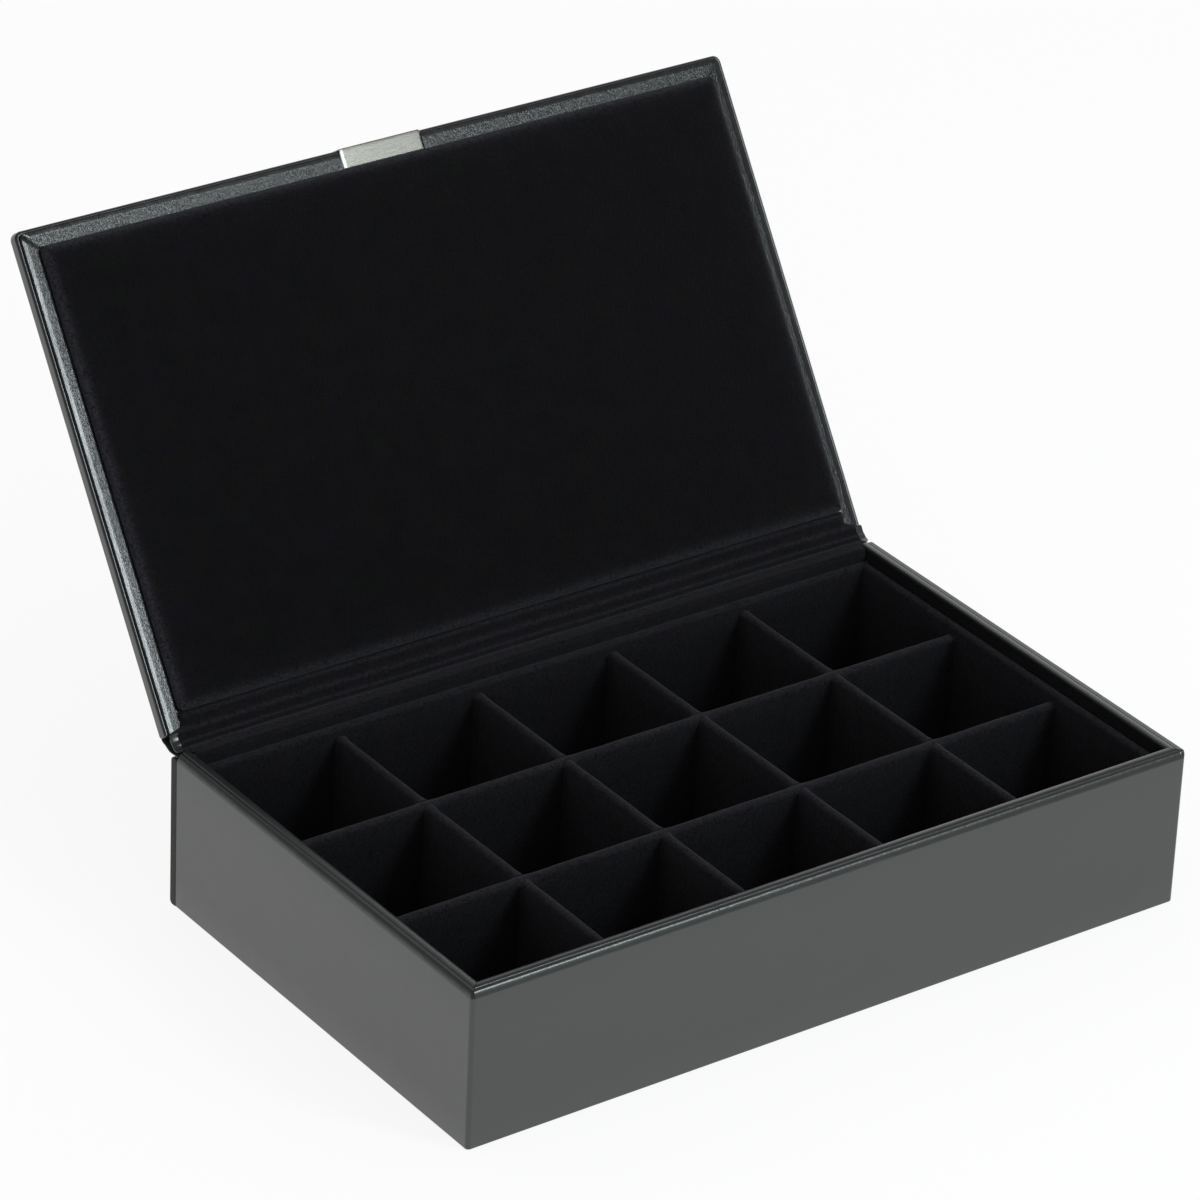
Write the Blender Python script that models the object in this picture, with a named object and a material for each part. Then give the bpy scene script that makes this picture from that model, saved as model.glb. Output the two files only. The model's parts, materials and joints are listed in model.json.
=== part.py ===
"""Cufflink box with a hinged lid and a velvet tray of fifteen compartments.

The origin is the middle of the underside, +Z is up, +X is to the right and the front faces -Y.
All lengths are metres. The lid is modelled closed and is then turned open about its hinge axis.
"""

import math

import bmesh
import bpy
from mathutils import Matrix, Vector

# Case: the covered boards and what is glued round them
CASE_WIDTH = 0.2500
CASE_DEPTH = 0.1530
LIP_HEIGHT = 0.0513
TOUCH_GAP = 0.0003
WRAP_THICKNESS = 0.0018
WRAP_CORNER_RADIUS = 0.0012
WRAP_INNER_RADIUS = 0.0003
WRAP_FOOT_RADIUS = 0.0007
BEAD_DROP = 0.0004
CREASE_BELOW_BEAD = 0.0007
CREASE_WIDTH = 0.0005
CREASE_DEPTH = 0.00025
WALL_BOARD_THICKNESS = 0.0023
LIP_EDGE_RADIUS = 0.0005
REAR_BOARD_DROP = 0.0012
REAR_COVER_THICKNESS = 0.0030
REAR_COVER_DROP = 0.0023
REAR_COVER_RADIUS = 0.0010
FLOOR_BOARD_THICKNESS = 0.0030
BASE_SHEET_THICKNESS = 0.0008
SHEET_CORNER_RADIUS = 0.0003

# Tray: velvet covered walls and slotted dividers
TRAY_FLOOR_THICKNESS = 0.0015
TRAY_WALL_THICKNESS = 0.0028
TRAY_PAD_CLEARANCE = 0.0009
DIVIDER_THICKNESS = 0.0030
DIVIDER_DROP = 0.0030
EDGE_CELL_TRIM = 0.0021
COLUMNS = 5
ROWS = 3

# Lid: board, liner, velvet pad and clasp plate
LID_OPEN_DEGREES = 123.7
LID_REAR_SETBACK = 0.0024
LID_PANEL_THICKNESS = 0.0033
LID_EDGE_RADIUS = 0.0008
LID_FRONT_CORNER_RADIUS = 0.0030
LID_REAR_CORNER_RADIUS = 0.0010
LINER_THICKNESS = 0.0006
LINER_INSET = 0.0017
LINER_REAR_INSET = 0.0026
LINER_CORNER_RADIUS = 0.0020
PAD_THICKNESS = 0.0029
PAD_CROWN = 0.0003
PAD_CROWN_WIDTH = 0.0120
PAD_EDGE_RADIUS = 0.0010
PAD_SIDE_CLEARANCE = 0.0015
PAD_REAR_CLEARANCE = 0.0027
PAD_CORNER_RADIUS = 0.0015
PAD_VELVET_THICKNESS = 0.0010
PAD_BOARD_THICKNESS = 0.0012
CLASP_WIDTH = 0.0285
CLASP_OUTER_LEG = 0.0055
CLASP_BEND_RADIUS = 0.0008
CLASP_END_BEVEL = 0.00015
CLASP_RECESS = 0.0006
MAGNET_LENGTH = 0.0240
MAGNET_HEIGHT = 0.0050
MAGNET_THICKNESS = 0.0012
MAGNET_BELOW_LIP = 0.0022

# Hinge: the axis that the flexible strip lets the lid turn about, the strip and its velvet lining
HINGE_AXIS_BACK = 0.0007
STRIP_THICKNESS = 0.0008
STRIP_END_SETBACK = 0.0004
STRIP_HANDLE = 0.0022
LINING_THICKNESS = 0.0009
LINING_FOLD_HEIGHT = 0.0005
LINING_HANDLE = 0.0032

# How far a cutter runs past what it cuts
CUT_OVERRUN = 0.0020

# The least radius that a corner keeps when its outline is drawn in
LEAST_RADIUS = 0.0003

# Steps on round shapes
CORNER_STEPS = 4
EDGE_STEPS = 3
TOP_STEPS = 6
BEND_STEPS = 5
SPAN_STEPS = 10
LINING_FOLDS = 2

# Planes of the case
LEFT = -CASE_WIDTH / 2
RIGHT = CASE_WIDTH / 2
FRONT = -CASE_DEPTH / 2
REAR = CASE_DEPTH / 2
BEAD_TOP = LIP_HEIGHT - BEAD_DROP
BOARD_OUTSET = WRAP_THICKNESS + TOUCH_GAP
INSIDE_OUTSET = BOARD_OUTSET + WALL_BOARD_THICKNESS
REAR_COVER_FRONT = REAR - REAR_COVER_THICKNESS
REAR_COVER_TOP = LIP_HEIGHT - REAR_COVER_DROP
REAR_BOARD_BACK = REAR_COVER_FRONT - TOUCH_GAP
REAR_BOARD_FRONT = REAR_BOARD_BACK - WALL_BOARD_THICKNESS
REAR_BOARD_TOP = LIP_HEIGHT - REAR_BOARD_DROP
FLOOR_BOARD_BASE = BASE_SHEET_THICKNESS + TOUCH_GAP
FLOOR_BOARD_TOP = FLOOR_BOARD_BASE + FLOOR_BOARD_THICKNESS

# Planes of the lid when it is closed
LID_REAR = REAR - LID_REAR_SETBACK
LINER_FACE = LIP_HEIGHT + TOUCH_GAP
LINER_BACK = LINER_FACE + LINER_THICKNESS
LID_PANEL_INNER = LINER_BACK + TOUCH_GAP
LID_PANEL_OUTER = LID_PANEL_INNER + LID_PANEL_THICKNESS
PAD_BACK = LINER_FACE - TOUCH_GAP
PAD_FACE = PAD_BACK - PAD_THICKNESS
PAD_INSET = INSIDE_OUTSET + PAD_SIDE_CLEARANCE
PAD_REAR = REAR_BOARD_FRONT - PAD_REAR_CLEARANCE

# Planes of the tray
TRAY_OUTSET = INSIDE_OUTSET + TOUCH_GAP
TRAY_FRONT = FRONT + TRAY_OUTSET
TRAY_REAR = REAR_BOARD_FRONT - TOUCH_GAP
TRAY_LEFT = LEFT + TRAY_OUTSET
TRAY_RIGHT = RIGHT - TRAY_OUTSET
TRAY_FLOOR_BASE = FLOOR_BOARD_TOP + TOUCH_GAP
TRAY_FLOOR_TOP = TRAY_FLOOR_BASE + TRAY_FLOOR_THICKNESS
TRAY_WALL_BASE = TRAY_FLOOR_TOP + TOUCH_GAP
TRAY_WALL_TOP = PAD_FACE - PAD_CROWN - TRAY_PAD_CLEARANCE
DIVIDER_TOP = TRAY_WALL_TOP - DIVIDER_DROP
DIVIDER_MIDDLE = (TRAY_WALL_BASE + DIVIDER_TOP) / 2

# Hinge axis, along X
HINGE_Y = REAR + HINGE_AXIS_BACK
HINGE_Z = LIP_HEIGHT
OPEN_TURN = Matrix.Rotation(-math.radians(LID_OPEN_DEGREES), 4, "X")


def clear_scene():
    for item in list(bpy.data.objects):
        bpy.data.objects.remove(item, do_unlink=True)


def linear(channel):
    """An sRGB channel from 0 to 1 as linear light."""
    if channel <= 0.04045:
        return channel / 12.92
    return ((channel + 0.055) / 1.055) ** 2.4


def make_material(name, colour, roughness, metallic):
    material = bpy.data.materials.new(name)
    material.use_nodes = True
    shader = material.node_tree.nodes["Principled BSDF"]
    channels = [int(colour[i : i + 2], 16) / 255 for i in (0, 2, 4)]
    rgba = [linear(c) for c in channels] + [1.0]
    shader.inputs["Base Color"].default_value = rgba
    shader.inputs["Roughness"].default_value = roughness
    shader.inputs["Metallic"].default_value = metallic
    material.diffuse_color = rgba
    return material


# Finishes as (sRGB colour, roughness, metallic)
SMOOTH_LEATHERETTE = ("2c2e2e", 0.42, 0.0)
GRAINED_LEATHERETTE = ("303333", 0.38, 0.0)
VELVET = ("0d0d10", 0.95, 0.0)
GREYBOARD = ("6e675c", 0.90, 0.0)
SATIN_STEEL = ("b9b8b4", 0.30, 1.0)
MAGNET = ("8c8d90", 0.35, 1.0)


def finish_object(name, mesh_builder, finish, round_degrees=35.0):
    """A named object from a bmesh, with outward faces, smooth shading and its own material."""
    bmesh.ops.recalc_face_normals(mesh_builder, faces=mesh_builder.faces)
    mesh = bpy.data.meshes.new(name)
    mesh_builder.to_mesh(mesh)
    mesh_builder.free()
    mesh.shade_smooth()
    mesh.set_sharp_from_angle(angle=math.radians(round_degrees))
    piece = bpy.data.objects.new(name, mesh)
    bpy.context.scene.collection.objects.link(piece)
    if finish is not None:
        mesh.materials.append(make_material(name + "_finish", *finish))
    return piece


def arc(centre, radius, start_degrees, end_degrees, steps):
    """Points on an arc in a plane, both ends included."""
    points = []
    for i in range(steps + 1):
        angle = math.radians(start_degrees + (end_degrees - start_degrees) * i / steps)
        points.append((centre[0] + radius * math.cos(angle), centre[1] + radius * math.sin(angle)))
    return points


def join_loops(builder, loops):
    """Bridges successive loops of equal length and caps the first and the last."""
    rings = [[builder.verts.new(point) for point in loop] for loop in loops]
    count = len(rings[0])
    for near, far in zip(rings, rings[1:]):
        for i in range(count):
            j = (i + 1) % count
            builder.faces.new((near[i], near[j], far[j], far[i]))
    builder.faces.new(rings[0])
    builder.faces.new(rings[-1])


def plan_outline(low, high, radii, inset):
    """A rectangle in plan, drawn in by inset, with one radius for each corner.

    The corners go round from the front left: front left, front right, rear right, rear left.
    """
    corners = (
        (low[0], low[1], 1, 1, 180),
        (high[0], low[1], -1, 1, 270),
        (high[0], high[1], -1, -1, 0),
        (low[0], high[1], 1, -1, 90),
    )
    points = []
    for (x, y, x_in, y_in, start), corner_radius in zip(corners, radii):
        radius = max(corner_radius - inset, LEAST_RADIUS)
        centre = (x + x_in * (inset + radius), y + y_in * (inset + radius))
        points += arc(centre, radius, start, start + 90, CORNER_STEPS)
    return points


def slab(name, low, high, radii, layers, finish):
    """A flat piece lofted through plan outlines: each layer is (how far drawn in, height)."""
    builder = bmesh.new()
    loops = []
    for inset, z in layers:
        loops.append([(x, y, z) for x, y in plan_outline(low, high, radii, inset)])
    join_loops(builder, loops)
    return finish_object(name, builder, finish)


def rounded_layers(base, top, radius):
    """Layers of a slab whose upper and lower rims are both rounded."""
    lower = arc((radius, base + radius), radius, 270, 180, EDGE_STEPS)
    upper = arc((radius, top - radius), radius, 180, 90, EDGE_STEPS)
    return lower + upper


def plain_layers(base, top):
    return [(0, base), (0, top)]


def profile_bar(profile, start_of, end_of):
    """A bar along local X whose ends may slant: profile points are (depth, height)."""
    builder = bmesh.new()
    near = [(start_of(depth), depth, height) for depth, height in profile]
    far = [(end_of(depth), depth, height) for depth, height in profile]
    join_loops(builder, [near, far])
    return builder


def straight_bar(name, profile, length, finish):
    builder = profile_bar(profile, lambda depth: -length / 2, lambda depth: length / 2)
    return finish_object(name, builder, finish)


def round_top_profile(thickness, base, top):
    """The section of a velvet covered wall, centred, with a fully rounded top."""
    radius = thickness / 2
    return [(-radius, base), (radius, base)] + arc((0, top - radius), radius, 0, 180, TOP_STEPS)


def lip_profile(thickness, base, top, radius):
    """The section of a wall board with both upper edges rounded: depth 0 is its outer face."""
    outer = arc((radius, top - radius), radius, 180, 90, EDGE_STEPS)
    inner = arc((thickness - radius, top - radius), radius, 90, 0, EDGE_STEPS)
    return [(0, base)] + outer + inner + [(thickness, base)]


def cutter(name, boxes):
    """One hidden wireframe object made of boxes, each given by its lowest and highest corner."""
    builder = bmesh.new()
    for low, high in boxes:
        size = [h - l for l, h in zip(low, high)]
        middle = [(h + l) / 2 for l, h in zip(low, high)]
        place = Matrix.Translation(middle) @ Matrix.Diagonal((*size, 1))
        bmesh.ops.create_cube(builder, size=1, matrix=place)
    piece = finish_object(name, builder, None)
    piece.hide_render = True
    piece.display_type = "WIRE"
    return piece


def cut(piece, tool):
    modifier = piece.modifiers.new("cut_" + tool.name, "BOOLEAN")
    modifier.operation = "DIFFERENCE"
    modifier.solver = "EXACT"
    modifier.object = tool


# Case


def make_case_wrap():
    """One board, covered and folded round the front and both sides, with its rolled upper bead."""
    bead_radius = WRAP_THICKNESS / 2
    bead_centre = BEAD_TOP - bead_radius
    crease = bead_centre - CREASE_BELOW_BEAD
    section = [(WRAP_THICKNESS, 0)]
    section += arc((WRAP_FOOT_RADIUS, WRAP_FOOT_RADIUS), WRAP_FOOT_RADIUS, 270, 180, EDGE_STEPS)
    section += [
        (0, crease - CREASE_WIDTH / 2),
        (CREASE_DEPTH, crease),
        (0, crease + CREASE_WIDTH / 2),
    ]
    section += arc((bead_radius, bead_centre), bead_radius, 180, 0, TOP_STEPS)

    def station(depth, x_sign, degrees):
        radius = max(WRAP_CORNER_RADIUS - depth, WRAP_INNER_RADIUS)
        x = x_sign * (CASE_WIDTH / 2 - depth - radius)
        y = FRONT + depth + radius
        angle = math.radians(degrees)
        return x + radius * math.cos(angle), y + radius * math.sin(angle)

    loops = [[(LEFT + depth, REAR_BOARD_BACK, z) for depth, z in section]]
    for x_sign, start in ((-1, 180), (1, 270)):
        for i in range(CORNER_STEPS + 1):
            degrees = start + 90 * i / CORNER_STEPS
            loops.append([(*station(depth, x_sign, degrees), z) for depth, z in section])
    loops.append([(RIGHT - depth, REAR_BOARD_BACK, z) for depth, z in section])
    builder = bmesh.new()
    join_loops(builder, loops)
    return finish_object("case_wrap", builder, SMOOTH_LEATHERETTE)


def make_wall_boards():
    """The four boards of the inner case: the front two corners are mitred, the rear board butts."""
    mitre_gap = TOUCH_GAP / math.sqrt(2)
    lip = lip_profile(WALL_BOARD_THICKNESS, FLOOR_BOARD_BASE, LIP_HEIGHT, LIP_EDGE_RADIUS)
    half_width = CASE_WIDTH / 2 - BOARD_OUTSET - mitre_gap
    front_bar = profile_bar(lip, lambda d: d - half_width, lambda d: half_width - d)
    front = finish_object("front_wall_board", front_bar, SMOOTH_LEATHERETTE)
    front.location = (0, FRONT + BOARD_OUTSET, 0)

    side_length = REAR_BOARD_BACK - FRONT - BOARD_OUTSET
    left_bar = profile_bar(lip, lambda d: -side_length, lambda d: -d - mitre_gap)
    left = finish_object("left_wall_board", left_bar, SMOOTH_LEATHERETTE)
    left.rotation_euler = (0, 0, math.radians(-90))
    left.location = (LEFT + BOARD_OUTSET, FRONT + BOARD_OUTSET, 0)

    right_bar = profile_bar(lip, lambda d: d + mitre_gap, lambda d: side_length)
    right = finish_object("right_wall_board", right_bar, SMOOTH_LEATHERETTE)
    right.rotation_euler = (0, 0, math.radians(90))
    right.location = (RIGHT - BOARD_OUTSET, FRONT + BOARD_OUTSET, 0)

    rear_lip = lip_profile(WALL_BOARD_THICKNESS, FLOOR_BOARD_BASE, REAR_BOARD_TOP, LIP_EDGE_RADIUS)
    rear_length = CASE_WIDTH - 2 * (INSIDE_OUTSET + TOUCH_GAP)
    rear = straight_bar("rear_wall_board", rear_lip, rear_length, GREYBOARD)
    rear.location = (0, REAR_BOARD_FRONT, 0)
    return front


def make_catch_magnet(front_board):
    """The bar magnet that holds the clasp plate down, in its pocket in the front board's outer face."""
    magnet_top = LIP_HEIGHT - MAGNET_BELOW_LIP
    magnet_base = magnet_top - MAGNET_HEIGHT
    magnet_back = FRONT + BOARD_OUTSET + MAGNET_THICKNESS
    low = (-MAGNET_LENGTH / 2, magnet_back - MAGNET_THICKNESS)
    high = (MAGNET_LENGTH / 2, magnet_back)
    radii = [SHEET_CORNER_RADIUS] * 4
    slab("catch_magnet", low, high, radii, plain_layers(magnet_base, magnet_top), MAGNET)
    pocket_low = (low[0] - TOUCH_GAP, low[1] - CUT_OVERRUN, magnet_base - TOUCH_GAP)
    pocket_high = (high[0] + TOUCH_GAP, magnet_back + TOUCH_GAP, magnet_top + TOUCH_GAP)
    cut(front_board, cutter("magnet_pocket", [(pocket_low, pocket_high)]))


def make_floor():
    """The board that closes the case and the flocked sheet under it."""
    sheet_low = (LEFT + BOARD_OUTSET, FRONT + BOARD_OUTSET)
    sheet_high = (RIGHT - BOARD_OUTSET, REAR_BOARD_BACK)
    radii = [SHEET_CORNER_RADIUS] * 4
    layers = plain_layers(0, BASE_SHEET_THICKNESS)
    slab("base_sheet", sheet_low, sheet_high, radii, layers, VELVET)

    board_low = (TRAY_LEFT, TRAY_FRONT)
    board_high = (TRAY_RIGHT, TRAY_REAR)
    layers = plain_layers(FLOOR_BOARD_BASE, FLOOR_BOARD_TOP)
    slab("floor_board", board_low, board_high, radii, layers, GREYBOARD)


def make_rear_cover():
    """The separate back of the case: a covered board with its two rear edges rounded."""
    radius = REAR_COVER_RADIUS
    section = [(0, 0)]
    section += arc((REAR_COVER_THICKNESS - radius, radius), radius, 270, 360, EDGE_STEPS)
    section += arc((REAR_COVER_THICKNESS - radius, REAR_COVER_TOP - radius), radius, 0, 90, EDGE_STEPS)
    section += [(0, REAR_COVER_TOP)]
    panel = straight_bar("rear_cover_panel", section, CASE_WIDTH, SMOOTH_LEATHERETTE)
    panel.location = (0, REAR_COVER_FRONT, 0)


# Tray


def cell_pitch(inside, cells):
    """Distance between dividers: the outer cells are narrower than the inner ones by the trim."""
    walls = (cells - 1) * DIVIDER_THICKNESS
    clear = (inside - walls + 2 * EDGE_CELL_TRIM) / cells
    return clear + DIVIDER_THICKNESS


def divider_places(inside, cells):
    pitch = cell_pitch(inside, cells)
    return [(i - (cells - 2) / 2) * pitch for i in range(cells - 1)]


def make_tray():
    """Floor card, four walls and the two sets of dividers, halved into each other where they cross."""
    slab(
        "tray_floor",
        (TRAY_LEFT, TRAY_FRONT),
        (TRAY_RIGHT, TRAY_REAR),
        [SHEET_CORNER_RADIUS] * 4,
        plain_layers(TRAY_FLOOR_BASE, TRAY_FLOOR_TOP),
        VELVET,
    )
    wall = round_top_profile(TRAY_WALL_THICKNESS, TRAY_WALL_BASE, TRAY_WALL_TOP)
    half_wall = TRAY_WALL_THICKNESS / 2
    tray_width = TRAY_RIGHT - TRAY_LEFT
    tray_middle = (TRAY_FRONT + TRAY_REAR) / 2
    for name, y in (("front", TRAY_FRONT + half_wall), ("rear", TRAY_REAR - half_wall)):
        piece = straight_bar(f"tray_{name}_wall", wall, tray_width, VELVET)
        piece.location = (0, y, 0)
    clear_depth = TRAY_REAR - TRAY_FRONT - 2 * TRAY_WALL_THICKNESS
    clear_width = tray_width - 2 * TRAY_WALL_THICKNESS
    for name, x in (("left", TRAY_LEFT + half_wall), ("right", TRAY_RIGHT - half_wall)):
        piece = straight_bar(f"tray_{name}_wall", wall, clear_depth - 2 * TOUCH_GAP, VELVET)
        piece.rotation_euler = (0, 0, math.radians(90))
        piece.location = (x, tray_middle, 0)

    divider = round_top_profile(DIVIDER_THICKNESS, TRAY_WALL_BASE, DIVIDER_TOP)
    columns = divider_places(clear_width, COLUMNS)
    rows = [tray_middle + y for y in divider_places(clear_depth, ROWS)]
    slot = DIVIDER_THICKNESS / 2 + TOUCH_GAP
    slot_top = DIVIDER_MIDDLE + TOUCH_GAP / 2
    slot_base = DIVIDER_MIDDLE - TOUCH_GAP / 2

    for i, y in enumerate(rows):
        name = f"long_divider_{i + 1}"
        piece = straight_bar(name, divider, clear_width - 2 * TOUCH_GAP, VELVET)
        piece.location = (0, y, 0)
        boxes = []
        for x in columns:
            low = (x - slot, y - DIVIDER_THICKNESS, TRAY_WALL_BASE - CUT_OVERRUN)
            high = (x + slot, y + DIVIDER_THICKNESS, slot_top)
            boxes.append((low, high))
        cut(piece, cutter(f"{name}_slots", boxes))

    for i, x in enumerate(columns):
        name = f"cross_divider_{i + 1}"
        piece = straight_bar(name, divider, clear_depth - 2 * TOUCH_GAP, VELVET)
        piece.rotation_euler = (0, 0, math.radians(90))
        piece.location = (x, tray_middle, 0)
        boxes = []
        for y in rows:
            low = (x - DIVIDER_THICKNESS, y - slot, slot_base)
            high = (x + DIVIDER_THICKNESS, y + slot, DIVIDER_TOP + CUT_OVERRUN)
            boxes.append((low, high))
        cut(piece, cutter(f"{name}_slots", boxes))


# Lid


def hang_on_lid(piece, pivot):
    """Hangs a piece that was modelled in the closed lid's place on the open pivot."""
    piece.parent = pivot
    piece.location = Vector(piece.location) - Vector((0, HINGE_Y, HINGE_Z))


def make_clasp_plate():
    """A strip of sheet metal folded round the lid's front edge, with its inner leg in the liner's notch."""
    thickness = LINER_THICKNESS
    inner_leg_end = FRONT + PAD_INSET - TOUCH_GAP
    front_face = FRONT + CLASP_RECESS - TOUCH_GAP - thickness
    outer_face = LID_PANEL_OUTER - CLASP_RECESS + TOUCH_GAP + thickness
    outer_leg_end = FRONT + CLASP_OUTER_LEG
    bend = CLASP_BEND_RADIUS
    inner_bend = max(bend - thickness, thickness / 4)
    lower = (front_face + bend, LINER_FACE + bend)
    upper = (front_face + bend, outer_face - bend)
    section = [(inner_leg_end, LINER_FACE)]
    section += arc(lower, bend, 270, 180, BEND_STEPS)
    section += arc(upper, bend, 180, 90, BEND_STEPS)
    section += [(outer_leg_end, outer_face), (outer_leg_end, outer_face - thickness)]
    corner = front_face + thickness + inner_bend
    section += arc((corner, outer_face - thickness - inner_bend), inner_bend, 90, 180, BEND_STEPS)
    section += arc((corner, LINER_FACE + thickness + inner_bend), inner_bend, 180, 270, BEND_STEPS)
    section += [(inner_leg_end, LINER_FACE + thickness)]
    half = CLASP_WIDTH / 2
    builder = profile_bar(section, lambda y: -half, lambda y: half)
    rims = [edge for edge in builder.edges if edge.verts[0].co.x == edge.verts[1].co.x]
    bmesh.ops.bevel(builder, geom=rims, offset=CLASP_END_BEVEL, segments=1, affect="EDGES")
    return finish_object("clasp_plate", builder, SATIN_STEEL)


def make_lid(pivot):
    low = (LEFT, FRONT)
    high = (RIGHT, LID_REAR)
    front_radius, rear_radius = LID_FRONT_CORNER_RADIUS, LID_REAR_CORNER_RADIUS
    radii = [front_radius, front_radius, rear_radius, rear_radius]
    layers = rounded_layers(LID_PANEL_INNER, LID_PANEL_OUTER, LID_EDGE_RADIUS)
    panel = slab("lid_panel", low, high, radii, layers, SMOOTH_LEATHERETTE)

    liner_low = (LEFT + LINER_INSET, FRONT + LINER_INSET)
    liner_high = (RIGHT - LINER_INSET, LID_REAR - LINER_REAR_INSET)
    edge = LINER_THICKNESS / 2
    layers = rounded_layers(LINER_FACE, LINER_BACK, edge)
    radii = [LINER_CORNER_RADIUS] * 4
    liner = slab("lid_liner", liner_low, liner_high, radii, layers, GRAINED_LEATHERETTE)

    half_clasp = CLASP_WIDTH / 2 + TOUCH_GAP
    front = FRONT - CUT_OVERRUN
    top = LID_PANEL_OUTER + CUT_OVERRUN
    edge_low = (-half_clasp, front, LID_PANEL_INNER - CUT_OVERRUN)
    edge_high = (half_clasp, FRONT + CLASP_RECESS, top)
    face_low = (-half_clasp, FRONT, LID_PANEL_OUTER - CLASP_RECESS)
    face_high = (half_clasp, FRONT + CLASP_OUTER_LEG + TOUCH_GAP, top)
    edge_notch = cutter("clasp_edge_notch", [(edge_low, edge_high)])
    face_recess = cutter("clasp_face_recess", [(face_low, face_high)])
    liner_low = (-half_clasp, front, LINER_FACE - CUT_OVERRUN)
    liner_high = (half_clasp, FRONT + PAD_INSET, LINER_BACK + CUT_OVERRUN)
    liner_notch = cutter("clasp_liner_notch", [(liner_low, liner_high)])
    cut(panel, edge_notch)
    cut(panel, face_recess)
    cut(liner, liner_notch)

    pad_low = (LEFT + PAD_INSET, FRONT + PAD_INSET)
    pad_high = (RIGHT - PAD_INSET, PAD_REAR)
    pocket = PAD_BACK - PAD_BOARD_THICKNESS - TOUCH_GAP
    pocket_inset = PAD_VELVET_THICKNESS
    radius = PAD_EDGE_RADIUS
    layers = [(pocket_inset, pocket), (pocket_inset, PAD_BACK), (0, PAD_BACK)]
    layers += arc((radius, PAD_FACE + radius), radius, 180, 270, EDGE_STEPS)
    layers += [(PAD_CROWN_WIDTH, PAD_FACE - PAD_CROWN)]
    pad = slab("lid_pad", pad_low, pad_high, [PAD_CORNER_RADIUS] * 4, layers, VELVET)

    board_inset = pocket_inset + TOUCH_GAP
    layers = [(board_inset, PAD_BACK - PAD_BOARD_THICKNESS), (board_inset, PAD_BACK)]
    board = slab("pad_board", pad_low, pad_high, [PAD_CORNER_RADIUS] * 4, layers, GREYBOARD)

    plate = make_clasp_plate()
    for piece in (panel, liner, pad, board, plate, edge_notch, face_recess, liner_notch):
        hang_on_lid(piece, pivot)


# Hinge


def opened(y, z):
    """Where a point of the closed lid lies when the lid stands open, in the plane across the hinge."""
    turned = OPEN_TURN @ Vector((0, y - HINGE_Y, z - HINGE_Z))
    return turned.y + HINGE_Y, turned.z + HINGE_Z


def opened_direction(y, z):
    turned = OPEN_TURN @ Vector((0, y, z))
    return Vector((turned.y, turned.z))


def bezier(start, start_handle, end_handle, end, steps):
    points = []
    for i in range(steps + 1):
        t = i / steps
        s = 1 - t
        terms = (s**3 * start, 3 * s * s * t * start_handle, 3 * s * t * t * end_handle, t**3 * end)
        points.append(sum(terms, Vector((0, 0))))
    return points


def band_section(middle, thickness):
    """The outline of a band of even thickness along a line of points."""
    left = []
    right = []
    for i, point in enumerate(middle):
        before = middle[max(i - 1, 0)]
        after = middle[min(i + 1, len(middle) - 1)]
        along = (after - before).normalized()
        across = Vector((-along.y, along.x)) * thickness / 2
        left.append(point + across)
        right.append(point - across)
    return [tuple(p) for p in left + right[::-1]]


def make_hinge_strip():
    """Leatherette from the top of the rear cover panel to the lid's hinge edge."""
    half = STRIP_THICKNESS / 2
    seat_height = REAR_COVER_TOP + TOUCH_GAP + half
    seat_start = Vector((REAR_COVER_FRONT + TOUCH_GAP, seat_height))
    seat_end = Vector((REAR - REAR_COVER_RADIUS, seat_height))
    lid_end = Vector(opened(LID_REAR + TOUCH_GAP, LID_PANEL_OUTER - half))
    lid_direction = opened_direction(-1, 0)
    level = Vector((STRIP_HANDLE, 0))
    span = bezier(seat_end, seat_end + level, lid_end - STRIP_HANDLE * lid_direction, lid_end, SPAN_STEPS)
    section = band_section([seat_start] + span, STRIP_THICKNESS)
    return straight_bar("hinge_strip", section, CASE_WIDTH - 2 * STRIP_END_SETBACK, SMOOTH_LEATHERETTE)


def make_hinge_lining():
    """Velvet from inside the rear wall, over its top and across to the pad, with soft folds along it."""
    half = LINING_THICKNESS / 2
    bend = TOUCH_GAP + half
    inner = REAR_BOARD_FRONT - bend
    level = REAR_BOARD_TOP + bend
    start = Vector((inner, TRAY_WALL_TOP + TOUCH_GAP))
    turn = arc((REAR_BOARD_FRONT, REAR_BOARD_TOP), bend, 180, 90, EDGE_STEPS)
    wall_end = Vector((REAR_BOARD_BACK, level))
    lid_height = LINER_FACE - bend
    lid_start = Vector(opened(LID_REAR - TOUCH_GAP, lid_height))
    lid_end = Vector(opened(PAD_REAR + TOUCH_GAP, lid_height))
    lid_direction = opened_direction(-1, 0)
    leave = wall_end + Vector((LINING_HANDLE, 0))
    arrive = lid_start - LINING_HANDLE * lid_direction
    span = bezier(wall_end, leave, arrive, lid_start, SPAN_STEPS)
    folded = []
    for i, point in enumerate(span):
        share = i / SPAN_STEPS
        before = span[max(i - 1, 0)]
        after = span[min(i + 1, SPAN_STEPS)]
        along = (after - before).normalized()
        rise = LINING_FOLD_HEIGHT * math.sin(math.pi * share) * math.sin(LINING_FOLDS * math.pi * share)
        folded.append(point + Vector((-along.y, along.x)) * rise)
    middle = [start] + [Vector(p) for p in turn] + folded + [lid_end]
    section = band_section(middle, LINING_THICKNESS)
    length = CASE_WIDTH - 2 * (INSIDE_OUTSET + 2 * TOUCH_GAP)
    return straight_bar("hinge_lining", section, length, VELVET)


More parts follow.
